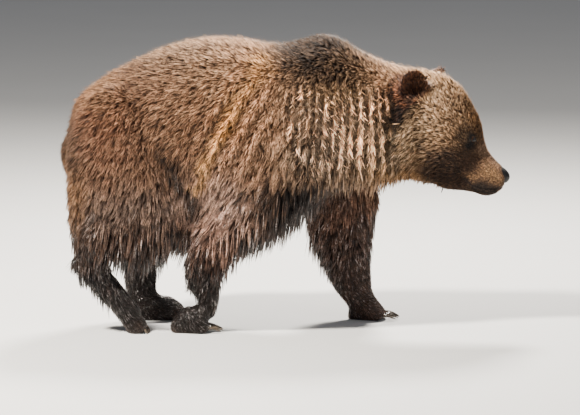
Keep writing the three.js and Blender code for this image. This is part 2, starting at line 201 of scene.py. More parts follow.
combLegs = np.array([
    # right foreleg
    (0, -250, 500, 60, -45, 0, -89, 25, 66, 48, 70, 30, 50),
    (-120, -240, 420, 60, -55, 0, -84, 24, 64, 48, 70, 40, 70),
    (-220, -220, 340, 50, -45, 0, -89, 18, 54, 46, 70, 30, 55),
    (-350, -160, 310, 50, -55, 0, -83, 42, 86, 48, 70, 60, 100),
    (-340, -150, 220, 40, -35, 0, -94, 30, 66, 46, 70, 50, 100),
    (-100, -150, 290, 50, -30, 0, -95, 34, 78, 48, 65, 60, 100),
    (-270, -190, 210, 50, -30, 0, -95, 15, 62, 40, 65, 10, 100),
    (-270, -170, 130, 40, -15, 0, -98, 11, 40, 32, 60, 0, 100),
    (-310, -130, 70, 35, 60, 0, -75, 7, 20, 28, 50, 0, 90),
    (-250, -130, 30, 30, 95, 0, -35, 5, 12, 24, 50, 0, 80),
    # left foreleg
    (180, 250, 580, 70, -15, 0, -98, 23, 58, 46, 70, 10, 20),
    (190, 240, 460, 60, -12, 0, -99, 24, 62, 48, 70, 30, 60),
    (190, 220, 350, 50, -8, 0, -99, 18, 54, 46, 70, 30, 90),
    (60, 150, 380, 50, -30, 0, -95, 36, 84, 48, 70, 60, 90),
    (90, 150, 260, 50, -25, 0, -96, 30, 70, 46, 70, 60, 100),
    (300, 150, 300, 50, 0, 0, -100, 18, 50, 44, 70, 20, 90),
    (210, 190, 220, 50, -3, 0, -100, 13, 40, 40, 65, 10, 100),
    (230, 170, 130, 40, 10, 0, -100, 9, 28, 32, 60, 0, 100),
    (260, 130, 60, 35, 80, 0, -55, 7, 20, 28, 50, 0, 90),
    (330, 130, 30, 30, 95, 0, -35, 5, 12, 24, 50, 0, 80),
    # right hind leg
    (-460, -250, 400, 60, -10, 0, -99, 24, 66, 48, 70, 40, 60),
    (-600, -230, 360, 50, -70, 0, -70, 20, 58, 46, 70, 30, 70),
    (-420, -150, 300, 50, -40, 0, -90, 26, 70, 48, 65, 60, 90),
    (-540, -140, 250, 40, -30, 0, -95, 20, 56, 46, 65, 50, 100),
    (-720, -150, 290, 40, -15, 0, -97, 18, 62, 42, 65, 30, 80),
    (-660, -160, 170, 40, 45, 0, -88, 18, 64, 42, 65, 25, 90),
    (-540, -150, 150, 40, 35, 0, -93, 16, 62, 40, 60, 20, 90),
    (-580, -180, 80, 40, 65, 0, -76, 12, 40, 32, 55, 0, 100),
    (-500, -140, 40, 30, 60, 0, -80, 5, 13, 24, 50, 0, 90),
    # left hind leg
    (-490, 250, 420, 60, -10, 0, -99, 24, 62, 46, 70, 30, 60),
    (-490, 230, 310, 50, -5, 0, -100, 18, 54, 46, 70, 30, 90),
    (-570, 150, 250, 40, -20, 0, -98, 20, 54, 46, 65, 40, 100),
    (-420, 150, 270, 40, -5, 0, -100, 20, 56, 46, 65, 40, 100),
    (-500, 190, 200, 50, 0, 0, -100, 12, 38, 40, 65, 10, 100),
    (-500, 170, 120, 40, 10, 0, -100, 9, 28, 32, 60, 0, 100),
    (-440, 130, 70, 35, 80, 0, -55, 7, 20, 28, 50, 0, 90),
    (-360, 130, 30, 30, 95, 0, -35, 5, 12, 24, 50, 0, 80),
]) / combUnits
combHead = np.array([
    # muzzle, bridge and chin
    (365, 20, -20, 20, -90, 0, -30, 2, 5, 15, 30, 0, 10),
    (310, 20, 50, 30, -100, 0, 25, 2.6, 8, 17, 36, 0, 0),
    (310, 50, 0, 30, -100, 0, -5, 3, 8, 17, 36, 0, 0),
    (340, 40, -30, 25, -90, 0, -40, 3, 8, 17, 36, 0, 0),
    (310, 20, -75, 30, -80, 0, -60, 4, 11, 19, 38, 10, 0),
    # stop, brow, crown and temple
    (240, 30, 90, 25, -100, 0, 30, 4, 10, 18, 38, 0, 0),
    (190, 30, 135, 30, -100, 0, 35, 7, 15, 20, 42, 0, 0),
    (165, 80, 125, 25, -100, 30, 20, 9, 17, 21, 45, 0, 0),
    (110, 30, 175, 40, -100, 0, 10, 13, 22, 24, 50, 0, 0),
    (30, 50, 190, 50, -100, 0, 0, 17, 30, 28, 55, 0, 0),
    (100, 120, 100, 40, -100, 0, -8, 13, 25, 26, 52, 0, 0),
    # eye, cheek and jaw
    (200, 90, 76, 14, -100, 0, 10, 2.6, 6, 14, 34, 0, 0),
    (230, 75, 30, 25, -100, 0, -15, 5, 12, 19, 40, 0, 0),
    (170, 120, 20, 30, -100, 0, -22, 9, 19, 22, 46, 0, 0),
    (100, 135, 0, 40, -92, 0, -38, 15, 29, 27, 54, 0, 0),
    (120, 110, -90, 40, -90, 0, -45, 15, 32, 28, 54, 10, 0),
    (230, 60, -100, 30, -95, 0, -30, 8, 19, 23, 46, 10, 0),
    # throat, ruff and nape
    (80, 30, -170, 40, -75, 0, -66, 18, 42, 34, 60, 30, 0),
    (-20, 145, 0, 40, -60, 0, -80, 20, 42, 34, 65, 10, 0),
    (-30, 130, -100, 50, -40, 0, -92, 24, 52, 38, 65, 20, 0),
    (-50, 130, 70, 30, -60, 0, -75, 15, 32, 30, 60, 0, 0),
    (-90, 60, 160, 50, -100, 0, -10, 18, 36, 34, 60, 0, 0),
]) / combUnits
# The ears: size of the coat in mm, half sizes, and for each ear where it is, how far it turns out,
# leans and tips forward, in degrees.
earMake = {"depth": 4.0, "length": 15, "width": 2.2, "over": 6.0, "reach": 0.030,
           "half": (0.013, 0.056, 0.062), "hollow": 0.010, "rimOut": 0.003,
           "rim": (92, 52, 31), "inside": (42, 29, 23),
           "ear_right": ((-0.062, -0.124, 0.124), 58, 16, 6),
           "ear_left": ((-0.020, 0.112, 0.136), 26, 16, 34)}


def earFrame(node):
    # The middle of an ear, and the ways its cup opens, its width runs and its height runs.
    at, turnOut, lean, forward = earMake[node]
    side = -1 if node == "ear_right" else 1
    turn = (headTurn @ Matrix.Rotation(math.radians(-side * lean), 3, "X")
            @ Matrix.Rotation(math.radians(side * turnOut), 3, "Z")
            @ Matrix.Rotation(math.radians(forward - headMake["noseDown"]), 3, "Y"))
    return np.array(headOrigin + headTurn @ Vector(at)), np.array(turn)


earFrames = {node: earFrame(node) for node in ("ear_right", "ear_left")}


def inEar(points, node):
    # Places in an ear's own frame, and how far out each is towards its rim, which is at 1.
    centre, turn = earFrames[node]
    p = (points - centre) @ turn
    return p, np.hypot(p[:, 1] / earMake["half"][1], p[:, 2] / earMake["half"][2])


def combRows():
    rows = []
    for row in combTrunk:
        rows.append(row)
        rows.append((row[0], -row[1], *row[2:]))
    rows.extend(combLegs)
    for row in combHead:
        for side in (1, -1):
            at = outOfHead((row[0], side * row[1], row[2]))
            way = headAxes @ np.array((row[4], side * row[5], row[6]))
            rows.append((*at, row[3], *way, *row[7:]))
    e = earMake
    for centre, turn in earFrames.values():
        for across, up in ((0, 0.75), (0.8, 0.25), (-0.8, 0.25), (0, 0.1)):
            at = centre + turn @ (0.01, across * e["half"][1], up * e["half"][2])
            way = turn @ unit(np.array([(0.1, across * 0.8, 0.6 + up)]))[0]
            rows.append((*at, e["reach"], *way, e["depth"], e["length"], e["width"],
                         e["over"], 0.0, 0.0))
    return np.array(rows, float)


combing = combRows()
combing[:, 7:10] *= 0.001
depthAt, lengthAt, widthAt, overAt, hangAt, wetAt = range(3, 9)
atOnce = 20000  # points, to keep the tables small


def combAt(points):
    # The lie of the hair and the coat's sizes at each point, blended between the rows.
    out = np.empty((len(points), 9))
    for start in range(0, len(points), atOnce):
        some = points[start:start + atOnce]
        gap = ((some[:, None] - combing[None, :, :3]) ** 2).sum(2)
        weight = np.exp(-0.5 * gap / combing[:, 3] ** 2) / combing[:, 3]
        weight += 1e-7 / (gap + 1e-4) ** 2
        weight /= weight.sum(1, keepdims=True)
        out[start:start + atOnce] = weight @ combing[:, 4:]
    out[:, :3] = unit(out[:, :3])
    return out


# Folds of the coat: waves down the neck and flank, and one deep fold behind the cheek. Their crests get
# a painted highlight, their valleys and the cheek's fold painted shade.
foldMake = {"neckSpacing": 0.0285, "neckDeep": 0.0100, "gather": 1.0, "paintedFoldContrast": 1.5,
            "leanAtShoulder": -0.156, "leanGrows": 0.62, "shoulderSpacing": 0.058,
            "shoulderDeep": 0.005, "cheekFold": ((0.352, 0.735), (0.362, 0.540)),
            "cheekWide": 0.010, "cheekDeep": 0.012, "cheekPaintedShade": 0.85, "step": 0.001}


def cheekFoldAt(points):
    # 1 in the deep fold between the neck and the cheek, on both sides.
    (ax, az), (bx, bz) = foldMake["cheekFold"]
    x, y, z = points.T
    share = np.clip((z - az) / (bz - az), 0, 1)
    turn = 0.14 * y  # the head is turned to its right, and the fold with it
    off = x - (ax + (bx - ax) * share + 0.006 * np.sin(z * 60)) - turn - 0.02
    fade = smoothStep(z, bz - 0.05, bz + 0.02) * (1 - smoothStep(z, az - 0.02, az + 0.05))
    return np.exp(-(off / foldMake["cheekWide"]) ** 2) * fade * smoothStep(np.abs(y), 0.05, 0.10)


def foldsAt(points):
    # -1 in a fold's valley to 1 on its crest, and how deep it is there, in metres.
    f = foldMake
    x, y, z = points.T
    side = smoothStep(np.abs(y), 0.05, 0.12)
    sway = 0.009 * ripple(points * (1, 1, 0.5), 0.22, 3) + 0.0016 * ripple(points, 0.06, 4)
    neck = side * smoothStep(x, -0.06, 0.06) * (1 - smoothStep(x, 0.36, 0.42))
    neck = neck * smoothStep(z, 0.47, 0.55) * (1 - smoothStep(z, 0.79, 0.885))
    lean = f["leanAtShoulder"] + f["leanGrows"] * x
    neckWave = np.cos(2 * math.pi * (x - lean * (0.84 - z) + sway) / f["neckSpacing"])
    neckWave = 2 * (0.5 + 0.5 * neckWave) ** 1.4 - 1
    flank = side * bell(points * (1, 0, 1), (-0.18, 0, 0.70), (0.13, 1, 0.16))
    along = x * 0.88 - (z - 0.7) * 0.47 + sway * 1.2
    flankWave = np.cos(2 * math.pi * along / f["shoulderSpacing"])
    deep = neck * f["neckDeep"] + flank * f["shoulderDeep"]
    wave = (neckWave * neck + flankWave * flank) / np.maximum(neck + flank, 1e-3)
    return wave * np.minimum(neck + flank, 1), deep


# Markings, where the coat changes colour. Each row: colour | x, y, z in mm | reach each way in mm |
# strength and grizzle (light tips), in hundredths. Rows with y over 0 in marksTrunk and marksHead
# count on both sides.
baseColour, baseGrizzle = (122, 86, 60), 0.45
markWarp = ((0.09, 11, 0.012), (0.03, 14, 0.004))  # spacing, seed and size of the edges' waver
markUnits = (1,) * 3 + (1000,) * 6 + (100, 100)
marksTrunk = np.array([
    # rump, loin and back
    (160, 92, 56, -640, 100, 740, 110, 300, 120, 90, 45),
    (158, 112, 76, -600, 100, 860, 100, 300, 60, 80, 60),
    (54, 36, 26, -740, 60, 600, 70, 300, 120, 90, 25),
    (92, 58, 37, -380, 200, 820, 140, 300, 140, 85, 22),
    (140, 98, 70, -330, 220, 700, 90, 300, 140, 70, 60),
    (128, 96, 72, -200, 50, 960, 220, 160, 70, 70, 60),
    (172, 128, 92, -160, 200, 860, 60, 160, 60, 70, 80),
    # shoulder and neck
    (176, 118, 78, -80, 240, 700, 80, 200, 140, 80, 50),
    (190, 140, 106, -120, 240, 570, 70, 200, 80, 80, 70),
    (196, 152, 116, 180, 200, 740, 150, 300, 100, 90, 90),
    (142, 88, 56, 340, 160, 760, 40, 200, 70, 65, 40),
    (160, 126, 98, 200, 160, 600, 140, 300, 55, 85, 100),
    # thigh, belly and chest
    (136, 98, 76, -560, 220, 560, 120, 200, 110, 60, 55),
    # The grey, pale mark low on the thigh is partly the wet hair's own colour and partly painted sheen.
    (150, 122, 108, -500, 200, 420, 140, 300, 60, 80, 55),
    (60, 42, 30, -200, 100, 310, 260, 140, 60, 90, 5), (34, 22, 15, 100, 120, 465, 130, 300, 55, 100, 0),
    (150, 104, 64, -710, 140, 470, 40, 200, 70, 60, 50),
    # neck and hump
    (230, 184, 142, 250, 200, 710, 60, 200, 80, 70, 85),
    (224, 174, 126, 180, 160, 830, 60, 120, 32, 80, 75), (52, 37, 27, 122, 60, 925, 92, 140, 64, 100, 5),
    (92, 66, 46, 200, 140, 875, 60, 90, 30, 60, 40),
]) / markUnits
marksLegs = np.array([
    # forelegs; the first two marks are painted highlight, the pale sheen of wet hair on the near upper
    # arm and foreleg
    (222, 182, 162, -240, -240, 460, 80, 100, 60, 85, 85),
    (225, 172, 148, -260, -220, 360, 70, 80, 60, 95, 70),
    (92, 58, 42, -280, -170, 260, 100, 120, 50, 90, 15),
    (50, 34, 27, -280, -140, 110, 140, 120, 110, 100, 0),
    (116, 82, 64, 200, 160, 360, 160, 140, 100, 95, 5),
    (92, 66, 54, 230, 140, 140, 160, 120, 140, 100, 0),
    # hind legs
    (84, 56, 42, -520, -180, 340, 180, 120, 50, 90, 25),
    (46, 33, 28, -600, -140, 160, 180, 120, 120, 100, 0),
    (72, 50, 38, -480, 160, 320, 160, 120, 100, 95, 5),
    (50, 34, 27, -480, 140, 120, 160, 120, 140, 100, 0),
]) / markUnits
marksHead = np.array([
    # crown, forehead and cheek
    (168, 126, 82, 20, 50, 170, 100, 200, 50, 95, 75), (98, 66, 40, 120, 70, 130, 50, 100, 40, 90, 40),
    (142, 104, 68, 80, 120, 50, 90, 100, 80, 85, 75), (186, 150, 112, 10, 140, -40, 50, 100, 80, 85, 95),
    # Of the two marks below, the second, dark at the base of the muzzle beside the eye, is painted
    # shade.
    (56, 36, 24, 175, 100, -50, 55, 100, 45, 92, 15), (66, 43, 29, 240, 60, 25, 33, 60, 33, 90, 5),
    # bridge, muzzle and jaw
    (136, 92, 50, 210, 0, 125, 50, 20, 30, 80, 30), (170, 132, 104, 270, 20, 58, 40, 30, 18, 85, 25),
    (138, 102, 66, 312, 50, 4, 30, 30, 18, 95, 50), (52, 31, 18, 220, 60, -100, 70, 100, 30, 95, 5),
    # The first mark below, dark on the chin, is painted shade under the upper lip.
    (36, 23, 15, 345, 30, -45, 35, 60, 18, 95, 5), (150, 112, 74, 272, 60, -30, 12, 30, 8, 70, 50),
    (150, 108, 64, 60, 40, -160, 80, 120, 30, 70, 50), (44, 28, 20, 85, 145, -12, 16, 50, 12, 85, 5),
    # round the eye, round the ear: the dark round the eye and the dark below the ear are painted shade
    (22, 15, 12, 194, 95, 68, 29, 40, 23, 100, 0), (88, 49, 29, -88, 125, 95, 24, 60, 45, 85, 10),
    (32, 20, 15, -50, 145, 52, 31, 60, 40, 100, 0),
]) / markUnits
# Stripes: colour | x, z at both ends | how far each side | strength | grizzle; on both sides.
marksStripe = [
    ((210, 152, 92), (-0.060, 0.910), (-0.170, 0.765), 0.026, 0.75, 0.70),    # golden
    ((228, 160, 86), (-0.170, 0.765), (-0.205, 0.680), 0.022, 0.90, 0.70),
    ((232, 172, 108), (-0.205, 0.680), (-0.292, 0.520), 0.018, 0.95, 0.70),
    ((32, 22, 18), (-0.400, 0.625), (-0.290, 0.440), 0.026, 0.95, 0.0),       # front of the thigh: dark wet hair, and painted shade in the crease against the flank
    ((50, 33, 25), (-0.064, 0.640), (-0.056, 0.470), 0.009, 0.95, 0.0),       # painted shadow between the ruff and the shoulder
    ((42, 29, 24), (0.070, 0.455), (-0.145, 0.325), 0.044, 0.92, 0.0),        # front of the foreleg
]


def markRows():
    rows = []
    for table, sides, axes in ((marksTrunk, (1, -1), np.eye(3)), (marksLegs, (1,), np.eye(3)),
                               (marksHead, (1, -1), headAxes)):
        for mark in table:
            for side in sides:
                at = mark[3:6] * (1, side, 1)
                at = outOfHead(at) if table is marksHead else at
                rows.append((mark[:3], at, mark[6:9], mark[9], mark[10], axes))
    return rows


marking = markRows()


def laidOver(colour, grizzle, paint, light, mask):
    return mixed(colour, linear(paint), mask[:, None]), mixed(grizzle, light, mask)


def markingAt(points):
    # Colour (linear) and grizzle at each point.
    warp = sum(drift(points, scale, seed) * far for scale, seed, far in markWarp)
    colour = np.tile(linear(baseColour), (len(points), 1))
    grizzle = np.full(len(points), baseGrizzle)
    for paint, at, reach, strength, light, axes in marking:
        mask = bell((points + warp - at) @ axes, (0, 0, 0), reach)
        mask = np.minimum(mask * 1.5, 1) * strength
        colour, grizzle = laidOver(colour, grizzle, paint, light, mask)
    flat = (points + warp)[:, (0, 2)]
    side = smoothStep(np.abs(points[:, 1]), 0.04, 0.10)
    for paint, start, end, wide, strength, light in marksStripe:
        mask = np.exp(-(fromLine(flat, start, end) / wide) ** 2) * side * strength
        colour, grizzle = laidOver(colour, grizzle, paint, light, mask)
    for node in earFrames:
        p, out = inEar(points, node)
        near = 1 - smoothStep(out, 0.98, 1.14)
        near = near * (1 - smoothStep(np.abs(p[:, 0] - 0.01), 0.035, 0.05))
        inside = (1 - smoothStep(out, 0.78, 1.0)) * smoothStep(p[:, 0], -0.012, 0.002)
        colour = mixed(colour, linear(earMake["rim"]), near[:, None] * 0.9)
        colour = mixed(colour, linear(earMake["inside"]), (near * inside)[:, None])
        grizzle = mixed(grizzle, 0.12, near)
    return colour, np.clip(grizzle, 0, 1)


def paintedFoldLightAt(points):
    # Painted light on the folds: a painted highlight on each crest, painted shade in each valley and in
    # the deep fold behind the cheek.
    f = foldMake
    wave, deep = foldsAt(points)
    folded = np.minimum(deep / f["neckDeep"], 1)
    light = np.exp(f["paintedFoldContrast"] * wave * folded + 0.10 * folded)
    return light * (1 - f["cheekPaintedShade"] * cheekFoldAt(points))


def towardsCrest(points):
    # How far each point moves, along x, to gather on the crest of its fold.
    f = foldMake
    step = np.array((f["step"], 0, 0))
    before, after = foldsAt(points - step)[0], foldsAt(points + step)[0]
    slope = f["gather"] * (after - before) / (2 * f["step"])
    return slope * (f["neckSpacing"] / (2 * math.pi)) ** 2


class Signal:
    # Wraps a socket, so that a sum on signals adds its Math nodes.
    def __init__(self, tree, socket):
        self.tree, self.socket = tree, socket

    def maths(self, operation, *values):
        node = self.tree.nodes.new("ShaderNodeMath")
        node.operation = operation
        for slot, value in zip(node.inputs, values):
            plug(self.tree, slot, value)
        return Signal(self.tree, node.outputs[0])

    def __add__(self, other): return self.maths("ADD", self, other)
    def __sub__(self, other): return self.maths("SUBTRACT", self, other)
    def __mul__(self, other): return self.maths("MULTIPLY", self, other)
    def __truediv__(self, other): return self.maths("DIVIDE", self, other)
    def __pow__(self, other): return self.maths("POWER", self, other)
    def __radd__(self, other): return self.maths("ADD", other, self)
    def __rsub__(self, other): return self.maths("SUBTRACT", other, self)
    def __rmul__(self, other): return self.maths("MULTIPLY", other, self)
    def __rtruediv__(self, other): return self.maths("DIVIDE", other, self)


def plug(tree, slot, value):
    if isinstance(value, Signal):
        tree.links.new(value.socket, slot)
    else:
        slot.default_value = value


class Finish:
    # A material with a Principled shader, and the nodes that feed it.
    def __init__(self, name, **fixed):
        self.material = bpy.data.materials.new(name)
        self.material.use_nodes = True
        self.tree = self.material.node_tree
        self.shader = self.tree.nodes["Principled BSDF"]
        for slot, value in fixed.items():
            self.shader.inputs[slot.replace("_", " ")].default_value = value

    def node(self, kind, settings=None, inputs=None, out=0):
        made = self.tree.nodes.new("ShaderNode" + kind)
        for key, value in (settings or {}).items():
            if key == "stops":
                for stop, (at, colour) in zip(self.stopsOf(made, len(value)), value):
                    stop.position, stop.color = at, colour
            else:
                setattr(made, key, value)
        for key, value in (inputs or {}).items():
            plug(self.tree, made.inputs[key], value)
        return Signal(self.tree, made.outputs[out])

    def stopsOf(self, made, count):
        stops = made.color_ramp.elements
        while len(stops) < count:
            stops.new(1.0)
        return stops

    def reads(self, attribute, out="Fac"):
        return self.node("Attribute", {"attribute_name": attribute}, out=out)

    def places(self):
        return self.node("TexCoord", out="Object")

    def noise(self, scale, detail=2.0, rough=0.5):
        return self.node("TexNoise", None, {"Vector": self.places(), "Scale": scale,
                                            "Detail": detail, "Roughness": rough})

    def mix(self, a, b, share, blend="MIX"):
        return self.node("Mix", {"data_type": "RGBA", "blend_type": blend},
                         {0: share, 6: a, 7: b}, out=2)

    def toned(self, colour, tone):
        grey = self.node("CombineColor", None, {0: tone, 1: tone, 2: tone})
        return self.mix(colour, grey, 1.0, "MULTIPLY")

    def feed(self, **slots):
        for slot, value in slots.items():
            plug(self.tree, self.shader.inputs[slot.replace("_", " ")], value)


def clamped(signal):
    low = signal.maths("MINIMUM", signal, 1.0)
    return low.maths("MAXIMUM", low, 0.0)


# The skin: one shell round all the nodes of flesh.
skinMake = {"swell": 0.0015, "voxel": 0.0090, "fairTrunk": 44, "fairFine": 8,
            "headFrom": 0.02, "eyeFine": 0.034, "lipFine": 0.013}
bareNodes = ("eye_right", "eye_left", "nose_pad")
fleshNodes = [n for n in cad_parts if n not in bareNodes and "claw" not in n]


def joinedNodes(names, swell, title, onFloor=False):
    # The solids of these nodes in one mesh, each a little swollen.
    joined = bmesh.new()
    for name in names:
        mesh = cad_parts[name].data.copy()
        bm = opened(mesh)
        bmesh.ops.remove_doubles(bm, verts=bm.verts, dist=1e-5)
        bm.normal_update()
        moves = [v.normal * swell for v in bm.verts]
        for v, move in zip(bm.verts, moves):
            v.co += move
            v.co.z = max(v.co.z, 0.0) if onFloor else v.co.z
        joined.from_mesh(settled(bm, mesh, onFloor))
        bpy.data.meshes.remove(mesh)
    return settled(joined, title)


def remeshed(mesh, voxel):
    piece = addObject("flesh", mesh)
    remesh = piece.modifiers.new("remesh", "REMESH")
    remesh.mode, remesh.voxel_size = "VOXEL", voxel
    graph = bpy.context.evaluated_depsgraph_get()
    made = bpy.data.meshes.new_from_object(piece.evaluated_get(graph))
    bpy.data.objects.remove(piece)
    return made


def faired(co, edges, rounds, share):
    # Smooths without shrinking: each round pulls in, then pushes out a little more.
    a, b = edges.T
    count = np.bincount(a, minlength=len(co)) + np.bincount(b, minlength=len(co))
    for turn in range(rounds * 2):
        pull = 0.50 if turn % 2 == 0 else -0.52
        mean = np.stack([np.bincount(a, co[b, k], len(co)) + np.bincount(b, co[a, k], len(co))
                         for k in range(3)], 1) / np.maximum(count, 1)[:, None]
        co = co + (mean - co) * (pull * share)[:, None]
    return co


def fineShare(points):
    # 1 where the shapes are small: head, ears, lower legs and paws.
    head = smoothStep(intoHead(points)[:, 0], -0.02, 0.10)
    ears = sum(bell(points, middleOf(n), (0.05, 0.05, 0.06)) for n in ("ear_right", "ear_left"))
    legs = 1 - smoothStep(points[:, 2], 0.16, 0.42)
    return np.clip(head + np.minimum(ears * 2, 1) + legs, 0, 1)


def coatDepth(points, normals):
    depth = combAt(points)[:, depthAt]
    sole = smoothStep(-normals[:, 2], 0.55, 0.85) * (1 - smoothStep(points[:, 2], 0.012, 0.03))
    return mixed(depth, 0.0004, sole)


faceMake = {"eyeRadius": 0.012, "openLong": 0.0098, "openHigh": 0.0062, "lidThick": 0.0016,
            "eyeReach": 0.045, "browHigh": 0.0045, "tearDeep": 0.0030, "lidRound": 0.0011,
            "boneHigh": 0.004, "hollowDeep": 0.004, "lipHigh": 0.0016,
            "mouth": ((0.385, 0.000), (0.362, -0.012), (0.346, -0.030), (0.318, -0.048),
                       (0.284, -0.055), (0.258, -0.050), (0.245, -0.040)),
            "mouthDeep": 0.0042, "mouthWide": 0.0026}
noseMake = {"half": (0.0370, 0.0335, 0.0250), "back": 0.0220, "nostril": (0.0125, 0.0135, 0.0005),
            "nostrilReach": (0.0075, 0.0052, 0.0058), "nostrilDeep": 0.012, "groove": 0.0022,
            "grooveWide": 0.0011, "slotDeep": 0.006, "wingHigh": 0.0016}
eyeCentres = {side: np.array(middleOf(name))
              for side, name in ((-1, "eye_right"), (1, "eye_left"))}


def eyeAxes(side):
    # Out of the eye, along its slit towards the nose, and up.
    out = Vector((0.42, side * 0.88, 0.22)).normalized()
    slit = Vector((0.86, -side * 0.30, -0.36))
    slit = (slit - slit.dot(out) * out).normalized()
    up = slit.cross(out)
    up = up if up.z > 0 else -up
    return [np.array(headTurn @ v) for v in (out, slit, up)]


def shapeEyes(co):
    f = faceMake
    lid = f["eyeRadius"] + f["lidThick"]
    for side, centre in eyeCentres.items():
        out, slit, up = eyeAxes(side)
        close = np.linalg.norm(co - centre, axis=1) < f["eyeReach"]
        p = (co - centre)[close]
        a, b, c = p @ slit, p @ up, p @ out
        # Brow above and behind, a hollow under and ahead of the eye.
        brow = np.exp(-((a + 0.004) / 0.020) ** 2 - ((b - 0.019) / 0.010) ** 2) * (c > 0)
        tear = np.exp(-((a - 0.020) / 0.009) ** 2 - ((b + 0.003) / 0.007) ** 2) * (c > 0)
        p = p + out * (brow * f["browHigh"] - tear * f["tearDeep"])[:, None]
        r = np.linalg.norm(p, axis=1, keepdims=True)
        toward = p / np.maximum(r, 1e-6)
        a, b, c = p @ slit, p @ up, p @ out
        almond = (a / f["openLong"]) ** 2 + (b / f["openHigh"]) ** 2
        facing = smoothStep(c, 0.0, 0.006)
        near = 1 - smoothStep(r[:, 0], lid + 0.002, lid + 0.014)
        swell = toward * lid
        p = np.where((r < lid) & (c[:, None] > 0), mixed(p, swell, facing[:, None]), p)
        r2 = np.linalg.norm(p, axis=1, keepdims=True)
        pulled = toward * mixed(r2, lid, near[:, None] * 0.7)
        p = mixed(p, pulled, (facing * near)[:, None])
        inside = (1 - smoothStep(almond, 0.75, 1.05)) * facing
        p = mixed(p, toward * f["eyeRadius"] * 0.72, inside[:, None])
        co[close] = centre + p
    return co


def mouthGap(points):
    # How far each point is from the line of the mouth, seen from the side, in the head's frame.
    path = faceMake["mouth"]
    gaps = [fromLine(points[:, (0, 2)], a, b) for a, b in zip(path[:-1], path[1:])]
    return np.minimum(np.min(gaps, axis=0), 1.0)


def shapeFace(co, normals):
    f = faceMake
    h = intoHead(co)
    gap = mouthGap(h)
    crease = np.exp(-(gap / f["mouthWide"]) ** 2) * (h[:, 0] > 0.2)
    lip = np.exp(-((gap - 0.009) / 0.006) ** 2) * smoothStep(h[:, 0], 0.24, 0.30)
    lip = lip * (h[:, 2] > -0.06)
    cheekBone = bell(h * (1, 0, 1), (0.13, 0, 0.035), (0.030, 1, 0.018)) * f["boneHigh"]
    hollow = bell(h * (1, 0, 1), (0.245, 0, 0.035), (0.022, 1, 0.016)) * -f["hollowDeep"]
    move = cheekBone + hollow + lip * f["lipHigh"] - crease * f["mouthDeep"]
    move = move * smoothStep(h[:, 0], 0.05, 0.12)
    return co + normals * move[:, None]


def shapeEars(co, normals):
    # A deeper cup than the outline holds, and a rim that stands out of the coat.
    e = earMake
    for node in earFrames:
        p, out = inEar(co, node)
        turn = earFrames[node][1]
        front = smoothStep(normals @ turn[:, 0], 0.0, 0.5) * (np.abs(p[:, 0]) < 0.045)
        cup = np.clip(1 - (out / 0.82) ** 2, 0, 1) * front
        rim = bell(out[:, None], (0.95,), (0.12,)) * (np.abs(p[:, 0] - 0.01) < 0.05)
        rim = rim * smoothStep(p[:, 2], -0.02, 0.01)
        shift = -turn[:, 0][None] * (cup * e["hollow"])[:, None]
        co = co + shift + normals * (rim * e["rimOut"])[:, None]
    return co


def subdivided(mesh, wanted):
    # Cuts the faces where wanted(centres) is True into four.
    bm = opened(mesh)
    chosen = wanted(np.array([f.calc_center_median() for f in bm.faces]))
    edges = {e for f, yes in zip(bm.faces, chosen) if yes for e in f.edges}
    bmesh.ops.subdivide_edges(bm, edges=list(edges), cuts=1, use_grid_fill=True)
    bmesh.ops.triangulate(bm, faces=[f for f in bm.faces if len(f.verts) > 4])
    return settled(bm, mesh)


def nearEars(points):
    return np.any([np.linalg.norm(points - f[0], axis=1) < 0.085 for f in earFrames.values()],
                  axis=0)


def nearFace(points):
    # Where the lids and lips need the finest mesh.
    eyes = np.min([np.linalg.norm(points - c, axis=1) for c in eyeCentres.values()], axis=0)
    h = intoHead(points)
    lips = (mouthGap(h) < skinMake["lipFine"]) & (h[:, 0] > 0.23)
    return (eyes < skinMake["eyeFine"]) | lips | (h[:, 0] > 0.33)


def dropCrumbs(mesh):
    # Keeps the one large shell.
    bm = opened(mesh)
    seen, crumbs = set(), []
    for first in bm.verts:
        if first in seen:
            continue
        part, edge = {first}, [first]
        while edge:
            edge = [w for v in edge for e in v.link_edges for w in e.verts if w not in part
                    and not part.add(w)]
        seen |= part
        if len(part) < 500:
            crumbs += part
    bmesh.ops.delete(bm, geom=crumbs, context="VERTS")
    return settled(bm, mesh)


def makeSkin():
    s = skinMake
    flesh = joinedNodes(fleshNodes, s["swell"], "flesh")
    mesh = dropCrumbs(remeshed(flesh, s["voxel"]))
    co, edges = verticesOf(mesh), fetched(mesh.edges, "vertices", 2, np.int32)
    co = faired(co, edges, s["fairTrunk"], 1 - 0.9 * fineShare(co))
    co = faired(co, edges, s["fairFine"], np.ones(len(co)) * 0.9)
    moveVertices(mesh, co)
    normals = normalsOf(mesh)
    depth = faired(np.repeat(coatDepth(co, normals)[:, None], 3, 1), edges, 3,
                   np.ones(len(co)))[:, 0]
    wave, deep = foldsAt(co)
    co = co - normals * (depth - wave * deep + cheekFoldAt(co) * foldMake["cheekDeep"])[:, None]
    co = faired(co, edges, 4, np.ones(len(co)) * 0.8)
    moveVertices(mesh, co)
    mesh = subdivided(mesh, lambda c: (intoHead(c)[:, 0] > s["headFrom"]) | nearEars(c))
    mesh = subdivided(mesh, nearFace)
    co, edges = verticesOf(mesh), fetched(mesh.edges, "vertices", 2, np.int32)
    head = smoothStep(intoHead(co)[:, 0], s["headFrom"] - 0.02, s["headFrom"] + 0.04)
    co = faired(co, edges, 6, head)
    moveVertices(mesh, co)
    co = shapeEars(co, normalsOf(mesh))
    co = shapeFace(co, normalsOf(mesh))
    co = shapeEyes(co)
    co[:, 2] = np.maximum(co[:, 2], 0.0)
    moveVertices(mesh, co)
    mesh.polygons.foreach_set("use_smooth", np.ones(len(mesh.polygons), bool))
    return mesh


